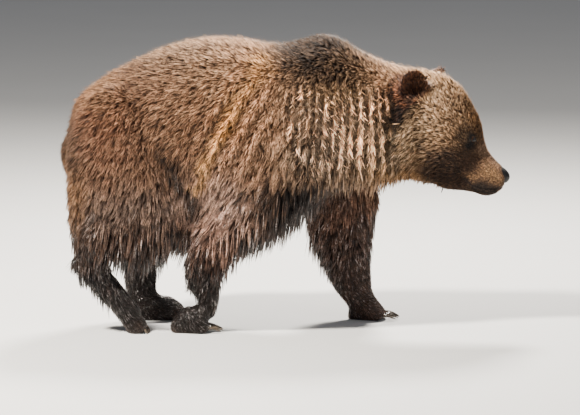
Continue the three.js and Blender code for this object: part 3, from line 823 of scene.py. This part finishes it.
skinMesh = makeSkin()
skin = addObject("skin", skinMesh)
skinPoints = verticesOf(skinMesh)
skinColour, skinGrizzle = markingAt(skinPoints)
skinComb = combAt(skinPoints)
print("skin:", len(skinMesh.vertices), "vertices,",
      sum(len(p.vertices) - 2 for p in skinMesh.polygons), "triangles")


# The coat: locks in tufts, grown from the skin band by band.
coatMake = {
    "seed": 7, "share": 1.0, "mostTriangles": 164000, "patch": 0.003,
    "longFrom": 0.060, "clumpSmall": 0.0075, "clumpLarge": 0.026, "swing": 0.13, "tuftSwing": 0.22,
    "thin": 0.60, "cover": 0.56, "rise": (0.0, 0.34, 0.68, 1.0), "strayShare": 0.16,
    "strayHigh": 0.75, "eyeClear": 0.0142, "noseClear": 1.04, "lipClear": 0.0024,
    "floorGap": 0.0015, "foldHolds": 0.005, "lengthSpread": (0.86, 1.10),
    "widthSpread": (0.7, 1.25), "hangSpread": (0.3, 1.1), "tallSpread": (0.9, 1.12),
    "rings": ((0.40, 0.45), (0.72, 0.8), (1.0, 1.0)),  # how far along a lock, how far drawn in
    "dryPull": (0.72, 0.14), "wetPull": (0.24, 0.30),  # towards a small and a large tuft
}
trianglesOf = {1: 6, 2: 12}  # of a lock with one or two rings between root and tip
# Fringes that hang free: x, y, z and reach in mm | lock length in mm | how thick they stand, in
# hundredths.
fringeMake = {"width": 0.0036, "clump": 0.015, "density": 17000, "least": 0.08,
              "lengthSpread": (0.75, 1.1), "widthSpread": (0.7, 1.2), "hangSpread": (0.75, 1.0),
              "pull": (0.80, 0.97), "spots": [
    # near foreleg
    (-160, -200, 335, 35, 119, 100), (-110, -200, 370, 35, 122, 100), (-60, -200, 410, 35, 119, 100),
    (-10, -200, 445, 35, 119, 100), (40, -170, 460, 35, 119, 100), (40, 0, 440, 50, 119, 88),
    (-155, -200, 285, 30, 88, 88), (-345, -170, 320, 32, 111, 100), (-350, -160, 255, 30, 88, 99),
    (-300, -170, 215, 30, 62, 55),
    # far foreleg
    (60, 170, 390, 35, 119, 99), (60, 150, 320, 30, 119, 100), (85, 160, 250, 30, 94, 99),
    (120, 170, 190, 30, 65, 66), (270, 160, 300, 30, 65, 44),
    # thighs
    (-600, -200, 350, 40, 105, 99), (-530, -200, 345, 40, 111, 100), (-460, -200, 340, 40, 111, 100),
    (-410, -200, 360, 35, 111, 100), (-500, 0, 330, 50, 105, 77), (-700, -150, 300, 30, 77, 99),
    (-655, -150, 225, 30, 62, 66), (-560, 200, 350, 40, 108, 99), (-480, 200, 345, 40, 111, 100),
    (-410, 180, 340, 40, 108, 99), (-590, 160, 250, 30, 82, 99), (-410, 150, 250, 30, 80, 88),
    # belly
    (-330, 0, 310, 50, 108, 88), (-240, 0, 290, 50, 111, 99), (-150, 0, 300, 50, 114, 99),
    (-60, 0, 350, 50, 114, 99), (-240, -150, 320, 40, 99, 55), (-200, 150, 340, 50, 108, 99),
    # ruff
    (100, -140, 545, 35, 96, 100), (170, -130, 535, 35, 91, 100), (240, -110, 525, 35, 84, 100),
    (310, -80, 520, 35, 76, 100), (100, 140, 530, 35, 96, 100), (200, 120, 520, 35, 91, 100),
    (300, 80, 515, 35, 78, 100),
    # throat
    (400, -40, 520, 30, 42, 66), (470, -50, 500, 30, 24, 66), (400, 30, 520, 30, 36, 66),
    (470, 10, 500, 30, 30, 66),
    # hock and legs
    (-735, -150, 270, 30, 66, 90), (-690, -160, 190, 30, 62, 90), (-635, -160, 130, 30, 54, 80),
    (-610, -170, 250, 35, 76, 90), (-560, -170, 190, 30, 62, 80), (-300, -180, 150, 30, 46, 60),
    (-225, -180, 270, 30, 84, 80), (-215, -180, 200, 30, 60, 60), (40, 180, 440, 35, 96, 80),
    (200, 100, 420, 50, 96, 60),
]}
fringeSpots = np.array(fringeMake["spots"]) / ((1000,) * 4 + (1, 100))


def fringeAt(points):
    # How thick the fringe stands at each point, and how long its locks are.
    out, length, weight = np.zeros((3, len(points)))
    for x, y, z, reach, long, thick in fringeSpots:
        near = bell(points, (x, y, z), reach)
        near[near < fringeMake["least"]] = 0
        out += near * thick
        length += near * long * 0.001
        weight += near
    return np.minimum(out, 1), length / np.maximum(weight, 1e-6)


def bandOf(centres, normals):
    # Which piece of the coat grows from each face: long bands, so that each spans the bear.
    x, y, z = centres.T
    h = intoHead(centres)
    names = np.where(y < 0, "right", "left").astype(object)
    high = np.where(z > 0.68, "_high", "_low").astype(object)
    band = np.array("coat_", object) + names + high
    band = np.where(normals[:, 2] > 0.62, "coat_top", band)
    band = np.where((normals[:, 2] < -0.50) & (z < 0.62), "coat_under", band)
    legs = z < 0.35
    outer = normals[:, 1] * np.sign(y) > 0.15
    band = np.where(legs & outer, "coat_legs_outer", band)
    band = np.where(legs & ~outer, "coat_legs_inner", band)
    return np.where(h[:, 0] > 0.155, "coat_face", band)


def bandMesh(name, chosen):
    # A copy of the skin's faces in one band, unwrapped on its own.
    bm = opened(skinMesh)
    bm.faces.ensure_lookup_table()
    drop = [f for f, held in zip(bm.faces, chosen) if not held]
    bmesh.ops.delete(bm, geom=drop, context="FACES")
    mesh = settled(bm, name)
    piece = addObject(name, mesh)
    bpy.ops.object.select_all(action="DESELECT")
    piece.select_set(True)
    bpy.context.view_layer.objects.active = piece
    bpy.ops.object.mode_set(mode="EDIT")
    bpy.ops.mesh.select_all(action="SELECT")
    bpy.ops.uv.smart_project(angle_limit=1.15, island_margin=0.002, scale_to_bounds=False)
    bpy.ops.object.mode_set(mode="OBJECT")
    mesh.calc_loop_triangles()
    corners, loops = (fetched(mesh.loop_triangles, key, 3, np.int32) for key in ("vertices", "loops"))
    points = verticesOf(mesh)[corners]
    places = fetched(mesh.uv_layers[0].data, "uv", 2)[loops]
    bpy.data.objects.remove(piece)
    bpy.data.meshes.remove(mesh)
    return points, places


skinTree = BVHTree.FromPolygons([Vector(p) for p in skinPoints],
                                [tuple(p.vertices) for p in skinMesh.polygons])
skinNormals = normalsOf(skinMesh)
faceCorner = np.array([p.vertices[0] for p in skinMesh.polygons])


def ontoSkin(points):
    # The nearest place on the skin to each point, and the way out of the skin there.
    found = [skinTree.find_nearest(p) for p in points.tolist()]
    place = np.array([f[0] for f in found])
    normal = np.array([f[1] for f in found])
    smooth = skinNormals[faceCorner[[f[2] for f in found]]]
    return place, unit(normal * 0.4 + smooth * 0.6)


def tuftsOf(roots, size, length):
    # Which tuft each lock belongs to: warped cells, smaller where the hair is short.
    level = np.round(np.log2(np.clip(length / 0.035, 0.2, 1.6))).astype(np.int64)
    warp = drift(roots, size * 5, 21) * size * 0.8
    cell = np.floor((roots + warp) / (size * 2.0 ** level)[:, None]).astype(np.int64)
    _, group = np.unique(np.column_stack([cell, level]), axis=0, return_inverse=True)
    return group.ravel()


def drawnTogether(rings, group, pull):
    # Draws the locks of each tuft towards its middle, most at their tips.
    count = np.bincount(group)
    out = []
    for at, share in rings:
        mean = np.stack([np.bincount(group, at[:, k]) / count for k in range(3)], 1)[group]
        out.append((mixed(at, mean, (pull * share)[:, None]), share))
    return out


def growLocks(name, points, places, rng):
    # Roots spread evenly over the band's triangles, then each lock's rings from root to tip.
    c = coatMake
    edgeA, edgeB = points[:, 1] - points[:, 0], points[:, 2] - points[:, 0]
    cross = np.cross(edgeA, edgeB)
    area = np.linalg.norm(cross, axis=1) / 2
    middle = points.mean(1)
    comb = combAt(middle)
    if name == "coat_fringe":
        density = fringeAt(middle)[0] * fringeMake["density"]
        perLock = trianglesOf[2]
    else:
        size = 0.5 * comb[:, lengthAt] * comb[:, widthAt] * c["thin"]
        density = c["cover"] * comb[:, overAt] / size
        perLock = np.where(comb[:, lengthAt] > c["longFrom"], trianglesOf[2], trianglesOf[1])
    bare = (unit(cross)[:, 2] < -0.6) & (middle[:, 2] < 0.018)
    density = np.where(bare, 0, density) * c["share"]
    for centre in eyeCentres.values():
        near = np.linalg.norm(middle - centre, axis=1)
        density = np.where(near < c["eyeClear"], 0, density)
    pad = ((middle - np.array(middleOf("nose_pad"))) @ headAxes + (noseMake["back"], 0, 0))
    pad = np.linalg.norm(pad / (np.array(noseMake["half"]) * c["noseClear"]), axis=1)
    density = np.where(pad < 1, 0, density)
    muzzle = intoHead(middle)
    density = np.where((mouthGap(muzzle) < c["lipClear"]) & (muzzle[:, 0] > 0.25), 0, density)
    total = (density * area * perLock).sum()
    density = density * min(1, c["mostTriangles"] * 0.985 / max(total, 1))
    count = (density * area + rng.random(len(area))).astype(int)
    tri = np.repeat(np.arange(len(area)), count)
    n = len(tri)
    u, v = rng.random(n), rng.random(n)
    flip = u + v > 1
    u, v = np.where(flip, 1 - u, u), np.where(flip, 1 - v, v)
    root = points[tri, 0] + edgeA[tri] * u[:, None] + edgeB[tri] * v[:, None]
    where = (places[tri, 0] + (places[tri, 1] - places[tri, 0]) * u[:, None]
             + (places[tri, 2] - places[tri, 0]) * v[:, None])
    return growFrom(name, root, where, rng)


def growFrom(name, root, where, rng):
    c = coatMake
    n = len(root)
    comb = combAt(root)
    root, normal = ontoSkin(root)
    wave, deep = foldsAt(root)
    wet = np.clip(comb[:, wetAt] * (1 + 0.35 * ripple(root, 0.06, 31)), 0, 1)
    depth = comb[:, depthAt] + wave * deep
    small, large = (tuftsOf(root, c[size], comb[:, lengthAt])
                    for size in ("clumpSmall", "clumpLarge"))
    tuft, tuftHigh = rng.random(n)[small], rng.random(n)[small]
    length = comb[:, lengthAt] * rng.uniform(*c["lengthSpread"], n) * (0.80 + 0.38 * tuftHigh)
    width = comb[:, widthAt] * c["thin"] * rng.uniform(*c["widthSpread"], n) * (1 - 0.25 * wet)
    hang = comb[:, hangAt] * rng.uniform(*c["hangSpread"], n)
    f, fringe = fringeMake, name == "coat_fringe"
    if fringe:
        small = tuftsOf(root, f["clump"], np.full(n, 0.035))
        length = fringeAt(root)[1] * rng.uniform(*f["lengthSpread"], n) * (0.6 + 0.6 * tuftHigh)
        width = f["width"] * rng.uniform(*f["widthSpread"], n)
        hang = rng.uniform(*f["hangSpread"], n)
    lie = unit(comb[:, :3] - normal * (comb[:, :3] * normal).sum(1, keepdims=True))
    aside = np.cross(normal, lie)
    turn = c["swing"] * (ripple(root, 0.055, 32) + 0.7 * ripple(root, 0.018, 33))
    turn = turn + rng.normal(0, 0.14, n)
    turn = turn + c["tuftSwing"] * rng.normal(0, 1, small.max() + 1)[small]
    lie = lie * np.cos(turn)[:, None] + aside * np.sin(turn)[:, None]
    long = np.full(n, True) if fringe else comb[:, lengthAt] > c["longFrom"]
    down, follow = np.array((0.0, 0.0, -1.0)), 0.20 if fringe else 0.55
    rings = []
    stray = rng.random(n) < c["strayShare"] * np.clip(comb[:, lengthAt] / 0.04, 0, 1) * (1 - wet)
    tall = depth * (0.66 + 0.42 * tuftHigh) * rng.uniform(*c["tallSpread"], n)
    tall = np.where(stray, depth * (1 + c["strayHigh"] * rng.random(n)), tall)
    width = np.where(stray, width * 0.6, width)
    for s, share in c["rings"]:
        reach = length * s
        aim = root + lie * (reach * 0.93)[:, None]
        aim[:, 0] += towardsCrest(aim) * s
        at, out = ontoSkin(aim)
        rise = np.interp(s, (0, *[ring[0] for ring in c["rings"]]), c["rise"])
        onCoat = at + out * (tall * rise)[:, None]
        free = (root + normal * (depth * 0.45)[:, None]
                + unit(lie * follow + down * 0.80 + normal * 0.14) * (reach * 0.97)[:, None])
        astray = ((np.linalg.norm(at - aim, axis=1) > 0.45 * reach + 0.006)
                  | ((out * normal).sum(1) < -0.1))
        onCoat = np.where(astray[:, None], aim + normal * (tall * rise)[:, None], onCoat)
        rings.append((mixed(onCoat, free, np.clip(hang, 0, 1)[:, None]), share))
    colour, grizzle = markingAt(root)
    # Painted highlight on the fold crests and painted shade in their valleys, taken near the lock's tip.
    fold = paintedFoldLightAt(rings[1][0])
    pullSmall = (c["dryPull"][0] + c["wetPull"][0] * wet) * rng.uniform(0.7, 1.0, n)
    pullSmall = pullSmall * np.where(stray, 0.4, 1)
    folded = np.minimum(deep / c["foldHolds"], 1)
    pullLarge = (c["dryPull"][1] + c["wetPull"][1] * wet) * rng.uniform(0.5, 1.0, n)
    pullLarge = pullLarge * (1 - 0.85 * folded)
    if fringe:
        pullSmall, pullLarge = rng.uniform(*f["pull"], n), pullLarge * 0.4
    fine = np.clip(length / 0.03, 0.3, 1)
    rings = drawnTogether(rings, small, pullSmall * fine)
    rings = drawnTogether(rings, large, pullLarge * fine)
    rings = [at for at, _ in rings]
    for at in rings:
        at[:, 2] = np.maximum(at[:, 2], c["floorGap"])
    data = {"marking": colour, "grizzle": grizzle, "wet": wet, "fold": fold,
            "shade": 0.35 * rng.random(n) + 0.65 * tuft}
    return lockMesh(name, root - normal * 0.001, rings, normal, width, long, where, data)


def lockMesh(name, root, rings, normal, width, long, where, data):
    # Six triangles to a short lock, twelve to a long one: root, one or two rings of three, tip.
    co, tris, along, owner, corners = [], [], [], [], []
    start = 0
    for many in (1, 2):
        pick = np.flatnonzero(long if many == 2 else ~long)
        n = len(pick)
        if not n:
            continue
        chain = [root[pick]] + ([rings[0][pick], rings[1][pick]] if many == 2
                                else [mixed(rings[0][pick], rings[1][pick], 0.15)])
        chain.append(rings[2][pick])
        parts, shares, spots = [chain[0][:, None]], [0.0], [(0.5, 0.0)]
        for k in range(1, many + 1):
            way = unit(chain[k + 1] - chain[k - 1])
            across = unit(np.cross(way, normal[pick]))
            up = np.cross(across, way)
            half = (width[pick] * (0.5, 0.5, 0.36)[k if many == 2 else 0])[:, None]
            ring = np.stack([chain[k] + across * half - up * half * 0.35,
                             chain[k] - across * half - up * half * 0.35,
                             chain[k] + up * half * 0.75], 1)
            parts.append(ring)
            shares += [k * 0.36 if many == 2 else 0.45] * 3
            spots += [(0.0, shares[-1]), (1.0, shares[-1]), (0.5, shares[-1])]
        parts.append(chain[-1][:, None])
        shares.append(1.0)
        spots.append((0.5, 1.0))
        block = np.concatenate(parts, 1)
        per = block.shape[1]
        faces = [(0, 2, 1), (0, 3, 2), (0, 1, 3)]
        for k in range(many - 1):
            a = 1 + 3 * k
            for i in range(3):
                j = (i + 1) % 3
                faces += [(a + i, a + j, a + 3 + j), (a + i, a + 3 + j, a + 3 + i)]
        a, tip = 1 + 3 * (many - 1), per - 1
        faces += [(a, a + 1, tip), (a + 1, a + 2, tip), (a + 2, a, tip)]
        base = start + np.arange(n)[:, None, None] * per
        tris.append((np.array(faces)[None] + base).reshape(-1, 3))
        co.append(block.reshape(-1, 3))
        along.append(np.tile(shares, n))
        owner.append(np.repeat(pick, per))
        spot = (np.array(spots) - 0.5) * coatMake["patch"]
        corners.append((where[pick][:, None] + spot[None]).reshape(-1, 2))
        start += n * per
    co, tris, owner = np.concatenate(co), np.concatenate(tris), np.concatenate(owner)
    mesh = bpy.data.meshes.new(name)
    mesh.vertices.add(len(co))
    mesh.vertices.foreach_set("co", co.astype(np.float32).ravel())
    mesh.loops.add(len(tris) * 3)
    mesh.loops.foreach_set("vertex_index", tris.astype(np.int32).ravel())
    mesh.polygons.add(len(tris))
    mesh.polygons.foreach_set("loop_start", np.arange(len(tris), dtype=np.int32) * 3)
    mesh.polygons.foreach_set("use_smooth", np.ones(len(tris), bool))
    layer = mesh.uv_layers.new(name="OFBake")
    uv = np.clip(np.concatenate(corners)[tris.ravel()], 0.0005, 0.9995)
    layer.data.foreach_set("uv", uv.astype(np.float32).ravel())
    mesh.update()
    addAttribute(mesh, "along", np.concatenate(along))
    for key, values in data.items():
        addAttribute(mesh, key, values[owner])
    return mesh


faceCentres, faceNormals = (fetched(skinMesh.polygons, key, 3) for key in ("center", "normal"))
bands = bandOf(faceCentres, faceNormals)
fringed = fringeAt(faceCentres)[0] > 0.05
coatPieces = []
for number, bandName in enumerate([*sorted(set(bands)), "coat_fringe"]):
    chance = np.random.default_rng(coatMake["seed"] + number)
    chosen = fringed if bandName == "coat_fringe" else bands == bandName
    bandPoints, bandPlaces = bandMesh(bandName, chosen)
    lockedMesh = growLocks(bandName, bandPoints, bandPlaces, chance)
    coatPieces.append(addObject(bandName, lockedMesh))
    print("coat:", bandName, len(lockedMesh.polygons), "triangles")
print("coat in all:", sum(len(p.data.polygons) for p in coatPieces), "triangles")

addAttribute(skinMesh, "marking", skinColour)
# The same painted highlight and shade of the folds, on the skin.
addAttribute(skinMesh, "fold", paintedFoldLightAt(skinPoints))
addAttribute(skinMesh, "grizzle", skinGrizzle)
addAttribute(skinMesh, "wet", skinComb[:, wetAt])
skinHead = intoHead(skinPoints)
lipShare = np.exp(-(mouthGap(skinHead) / 0.004) ** 2) * (skinHead[:, 0] > 0.24)
eyeShare = sum(bell(skinPoints, c, (0.011, 0.011, 0.011)) for c in eyeCentres.values())
padShare = smoothStep(-skinNormals[:, 2], 0.5, 0.8) * (1 - smoothStep(skinPoints[:, 2], 0.012, 0.03))
addAttribute(skinMesh, "bare", np.clip(lipShare + np.minimum(eyeShare * 2.5, 1) + padShare, 0, 1))


# Eyes, lids, nose and claws.
def makeEye(side, name):
    centre = eyeCentres[side]
    bm = bmesh.new()
    bmesh.ops.create_uvsphere(bm, u_segments=48, v_segments=32, radius=faceMake["eyeRadius"])
    bmesh.ops.translate(bm, verts=bm.verts, vec=Vector(centre))
    mesh = settled(bm, name, True)
    out = eyeAxes(side)[0]
    addAttribute(mesh, "gaze", (verticesOf(mesh) - centre) @ out / faceMake["eyeRadius"])
    return addObject(name, mesh)


def makeLid(side, name):
    # A soft rim round the eye's opening, lying on the ball.
    out, slit, up = (Vector(v) for v in eyeAxes(side))
    f = faceMake
    bm = bmesh.new()
    steps, sides, loops = 40, 8, []
    ring = bmesh.ops.create_circle(bm, cap_ends=False, radius=f["lidRound"], segments=sides)["verts"]
    centre = Vector(eyeCentres[side])
    for i in range(steps):
        angle = 2 * math.pi * i / steps
        a = math.cos(angle) * f["openLong"] * 1.04
        b = math.sin(angle) * f["openHigh"] * 1.05 * (0.9 if math.sin(angle) < 0 else 1.0)
        c = math.sqrt(max((f["eyeRadius"] + 0.0004) ** 2 - a * a - b * b, 1e-6))
        at = centre + slit * a + up * b + out * c
        radial = (slit * a + up * b).normalized()
        axis = (at - centre).normalized()
        loops.append([bm.verts.new(at + radial * v.co.x * 1.2 + axis * v.co.y * 0.8)
                      for v in ring])
    bmesh.ops.delete(bm, geom=ring, context="VERTS")
    for i in range(steps):
        here, there = loops[i], loops[(i + 1) % steps]
        for k in range(sides):
            after = (k + 1) % sides
            bm.faces.new((here[k], here[after], there[after], there[k]))
    bmesh.ops.recalc_face_normals(bm, faces=bm.faces)
    return addObject(name, settled(bm, name, True))


def makeNose():
    m = noseMake
    bm = bmesh.new()
    bmesh.ops.create_icosphere(bm, subdivisions=6, radius=1.0)
    mesh = settled(bm, "nose_pad_skin", True)
    p = verticesOf(mesh)
    x, y, z = (np.sign(p) * np.abs(p) ** 0.92).T
    wide = 1 - 0.20 * smoothStep(-z, 0.1, 1.0)
    p = np.stack([x * m["half"][0], y * m["half"][1] * wide, z * m["half"][2]], 1)
    outward = unit(p)
    for side in (-1, 1):
        c = np.array(m["nostril"]) * (1, side, 1)
        hole = bell(p, c, m["nostrilReach"])
        slot = bell(p, c + (-0.007, side * 0.0075, -0.003), (0.006, 0.004, 0.0028))
        wing = bell(p, c + (0.001, side * 0.006, 0.008), (0.008, 0.006, 0.004))
        move = hole * m["nostrilDeep"] + slot * m["slotDeep"] - wing * m["wingHigh"]
        p = p - outward * move[:, None]
    groove = np.exp(-(p[:, 1] / m["grooveWide"]) ** 2) * smoothStep(p[:, 0], 0.004, 0.012)
    groove = groove * (p[:, 2] < 0.006)
    p = p - outward * (groove * m["groove"])[:, None]
    moveVertices(mesh, (p - (m["back"], 0, 0)) @ headAxes.T + np.array(middleOf("nose_pad")))
    return addObject("nose_pad_skin", mesh)


clawMake = {"swell": 0.0007, "levels": 2}


def makeClaws():
    nodes = sorted(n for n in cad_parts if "claw" in n)
    piece = addObject("claws", joinedNodes(nodes, clawMake["swell"], "claws", True))
    smooth = piece.modifiers.new("round", "SUBSURF")
    smooth.levels = smooth.render_levels = clawMake["levels"]
    return piece, nodes


eyes = {name: makeEye(side, name + "_ball") for side, name in ((-1, "eye_right"), (1, "eye_left"))}
lids = [makeLid(side, name) for side, name in ((-1, "lid_right"), (1, "lid_left"))]
nose = makeNose()
claws, clawNodes = makeClaws()
print("eyes, lids, nose and claws made")


# Materials.
furMake = {"rootDark": 0.12, "tipLight": 1.85, "frost": (0.56, 0.40, 0.25, 1),
           "paleFrost": (0.74, 0.62, 0.48, 1), "frostMost": 0.9, "dryRough": 0.58, "wetRough": 0.30,
           "wetDark": 0.60, "wetGloss": 0.8, "patchScale": 38.0, "grainScale": 150.0,
           "glint": (0.66, 0.60, 0.58, 1), "glintMost": 0.75}


def furFinish(name, isSkin=False):
    m = furMake
    finish = Finish(name, Specular_IOR_Level=0.28, Coat_Roughness=0.16)
    marking = finish.reads("marking", "Color")
    grizzle, wet = finish.reads("grizzle"), finish.reads("wet")
    patch = finish.noise(m["patchScale"], 3.0, 0.6)
    if isSkin:
        streak = finish.noise(420.0, 3.0, 0.7)
        tone = 0.20 + 0.22 * streak + 0.15 * patch
        bump = finish.node("Bump", None, {"Strength": 0.5, "Distance": 0.004, "Height": streak})
        finish.feed(Normal=bump)
    else:
        along, shade = finish.reads("along"), finish.reads("shade")
        # Darker roots and paler tips: partly the hair's own colour, partly painted shade deep in the
        # coat between the locks.
        rise = clamped(along ** 1.5)
        tone = m["rootDark"] + rise * (m["tipLight"] - m["rootDark"])
        grain = finish.noise(m["grainScale"], 2.0, 0.6)
        tone = tone * (0.15 + 1.85 * shade ** 1.7) * (0.70 + patch * 0.60)
        tone = tone * (0.40 + clamped(grain * 3.2 - 1.1) * 1.2)
        finish.feed(Coat_Weight=wet * m["wetGloss"])
    tone = tone * (1 - wet * (1 - m["wetDark"]))
    colour = finish.toned(marking, tone)
    if not isSkin:
        frost = clamped(grizzle * (along ** 2.6) * (3.0 * shade - 1.1) * m["frostMost"])
        frost = frost * (1 - 0.8 * wet)
        pale = finish.mix(m["frost"], m["paleFrost"], clamped(grizzle * 2 - 1.1))
        colour = finish.mix(colour, pale, frost)
        # Painted glints: the highlights of wet hair painted into the colour.
        damp = clamped(wet * 3 - 0.9)
        glint = clamped((shade * 5 - 3.5) * damp) * clamped(along * 3 - 1.0)
        glint = glint * clamped(grain * 6 - 2.4)
        colour = finish.mix(colour, m["glint"], glint * m["glintMost"])
    else:
        colour = finish.mix(colour, (0.018, 0.014, 0.013, 1), finish.reads("bare"))
    # The colour is scaled by the painted highlight and shade of the folds.
    colour = finish.node("VectorMath", {"operation": "SCALE"},
                         {"Vector": colour, "Scale": finish.reads("fold")})
    finish.feed(Base_Color=colour, Roughness=m["dryRough"] + wet * (m["wetRough"] - m["dryRough"]))
    return finish.material


def eyeFinish():
    finish = Finish("eye", Roughness=0.05, Specular_IOR_Level=0.25)
    gaze = finish.reads("gaze")
    ring = finish.node("ValToRGB", {"stops": [
        (0.0, (0.05, 0.03, 0.02, 1)), (0.55, (0.03, 0.02, 0.015, 1)),
        (0.62, (0.008, 0.005, 0.004, 1)), (0.70, (0.030, 0.014, 0.007, 1)),
        (0.90, (0.016, 0.008, 0.005, 1)),
        (0.925, (0.002, 0.002, 0.002, 1))]}, {"Fac": gaze})
    fleck = finish.noise(900.0, 3.0, 0.6)
    finish.feed(Base_Color=finish.toned(ring, 0.7 + fleck * 0.6))
    return finish.material


def leatherFinish(name, dark, light, scale, gloss=0.5):
    finish = Finish(name, Specular_IOR_Level=gloss)
    cells = finish.node("TexVoronoi", {"feature": "DISTANCE_TO_EDGE"},
                        {"Vector": finish.places(), "Scale": scale})
    grain = clamped(cells * 6.0)
    cloud = finish.noise(90.0, 3.0)
    colour = finish.mix(dark, light, clamped(cloud * 0.8 * grain))
    bump = finish.node("Bump", None, {"Strength": 0.30, "Distance": 0.0005, "Height": grain})
    finish.feed(Base_Color=colour, Normal=bump, Roughness=0.36 + cloud * 0.26)
    return finish.material


def hornFinish():
    finish = Finish("horn", Specular_IOR_Level=0.5)
    stretch = finish.node("Mapping", None, {"Vector": finish.places(),
                                            "Scale": (18.0, 260.0, 260.0)})
    line = finish.node("TexNoise", None, {"Vector": stretch, "Scale": 1.0, "Detail": 3.0})
    colour = finish.mix((0.022, 0.016, 0.012, 1), (0.17, 0.125, 0.085, 1),
                        clamped(line * 2.4 - 0.8))
    bump = finish.node("Bump", None, {"Strength": 0.3, "Distance": 0.0005, "Height": line})
    finish.feed(Base_Color=colour, Normal=bump, Roughness=0.26 + line * 0.2)
    return finish.material


def dress(piece, material):
    piece.data.materials.clear()
    piece.data.materials.append(material)


coatFinish = furFinish("coat")
dress(skin, furFinish("underfur", True))
for piece in coatPieces:
    dress(piece, coatFinish)
eyeMaterial = eyeFinish()
for piece in eyes.values():
    dress(piece, eyeMaterial)
lidMaterial = leatherFinish("lid_skin", (0.006, 0.005, 0.005, 1), (0.016, 0.012, 0.010, 1),
                            1400.0, 0.15)
for piece in lids:
    dress(piece, lidMaterial)
dress(nose, leatherFinish("nose_leather", (0.005, 0.005, 0.005, 1), (0.020, 0.018, 0.018, 1),
                          620.0, 0.22))
dress(claws, hornFinish())
print("materials made")


# What each piece rides on and replaces.
for piece in [skin, *coatPieces]:
    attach(piece, "root")
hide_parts(*fleshNodes)
for node, piece in eyes.items():
    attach(piece, "root")
    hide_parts(node)
for piece in lids:
    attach(piece, "root")
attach(nose, "root")
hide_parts("nose_pad")
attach(claws, "root")
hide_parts(*clawNodes)


# Floor, light and camera.
stageMake = {"floorHalf": 9.0, "floorColour": (0.72, 0.71, 0.69, 1),
             "worldColour": (0.85, 0.9, 1.0, 1), "worldStrength": 0.19}


def makeFloor():
    bm = bmesh.new()
    bmesh.ops.create_grid(bm, x_segments=1, y_segments=1, size=stageMake["floorHalf"])
    bmesh.ops.translate(bm, verts=bm.verts, vec=(0, 4.0, 0))
    floor = addObject("floor", settled(bm, "floor"))
    finish = Finish("floor", Roughness=0.85)
    cloud = finish.noise(1.3, 3.0)
    pale = tuple(v * 0.94 for v in stageMake["floorColour"][:3]) + (1,)
    finish.feed(Base_Color=finish.mix(stageMake["floorColour"], pale, cloud))
    dress(floor, finish.material)


def addLight(name, at, aim, size, power, colour):
    data = bpy.data.lights.new(name, "AREA")
    data.shape, data.size, data.energy, data.color = "DISK", size, power, colour
    lamp = addObject(name, data)
    lamp.location = at
    lamp.rotation_euler = (Vector(aim) - Vector(at)).to_track_quat("-Z", "Y").to_euler()


makeFloor()
world = bpy.data.worlds.new("studio")
bpy.context.scene.world = world
world.use_nodes = True
background = world.node_tree.nodes["Background"]
background.inputs["Color"].default_value = stageMake["worldColour"]
background.inputs["Strength"].default_value = stageMake["worldStrength"]
addLight("key", (-2.9, -2.0, 4.2), (0, 0, 0.5), 0.6, 1020, (1.0, 0.94, 0.85))
addLight("rim", (0.4, 2.8, 3.6), (0, 0, 0.8), 1.0, 560, (1.0, 0.95, 0.88))
addLight("fill", (3.6, -3.4, 1.8), (0, 0, 0.5), 3.0, 60, (0.9, 0.95, 1.0))

cameraMake = {"distance": 15.0, "elevation": 8.0, "across": 1.972, "aim": (0.016, 0.0556, 0.3956)}


def makeCamera():
    m = cameraMake
    data = bpy.data.cameras.new("camera")
    data.sensor_width = 36.0
    data.lens = 36.0 * m["distance"] / m["across"]
    data.clip_end = 100.0
    camera = addObject("camera", data)
    tilt = math.radians(m["elevation"])
    back = Vector((0, -math.cos(tilt), math.sin(tilt)))
    camera.location = Vector(m["aim"]) + back * m["distance"]
    camera.rotation_euler = (-back).to_track_quat("-Z", "Y").to_euler()
    bpy.context.scene.camera = camera


makeCamera()
print("stage set")
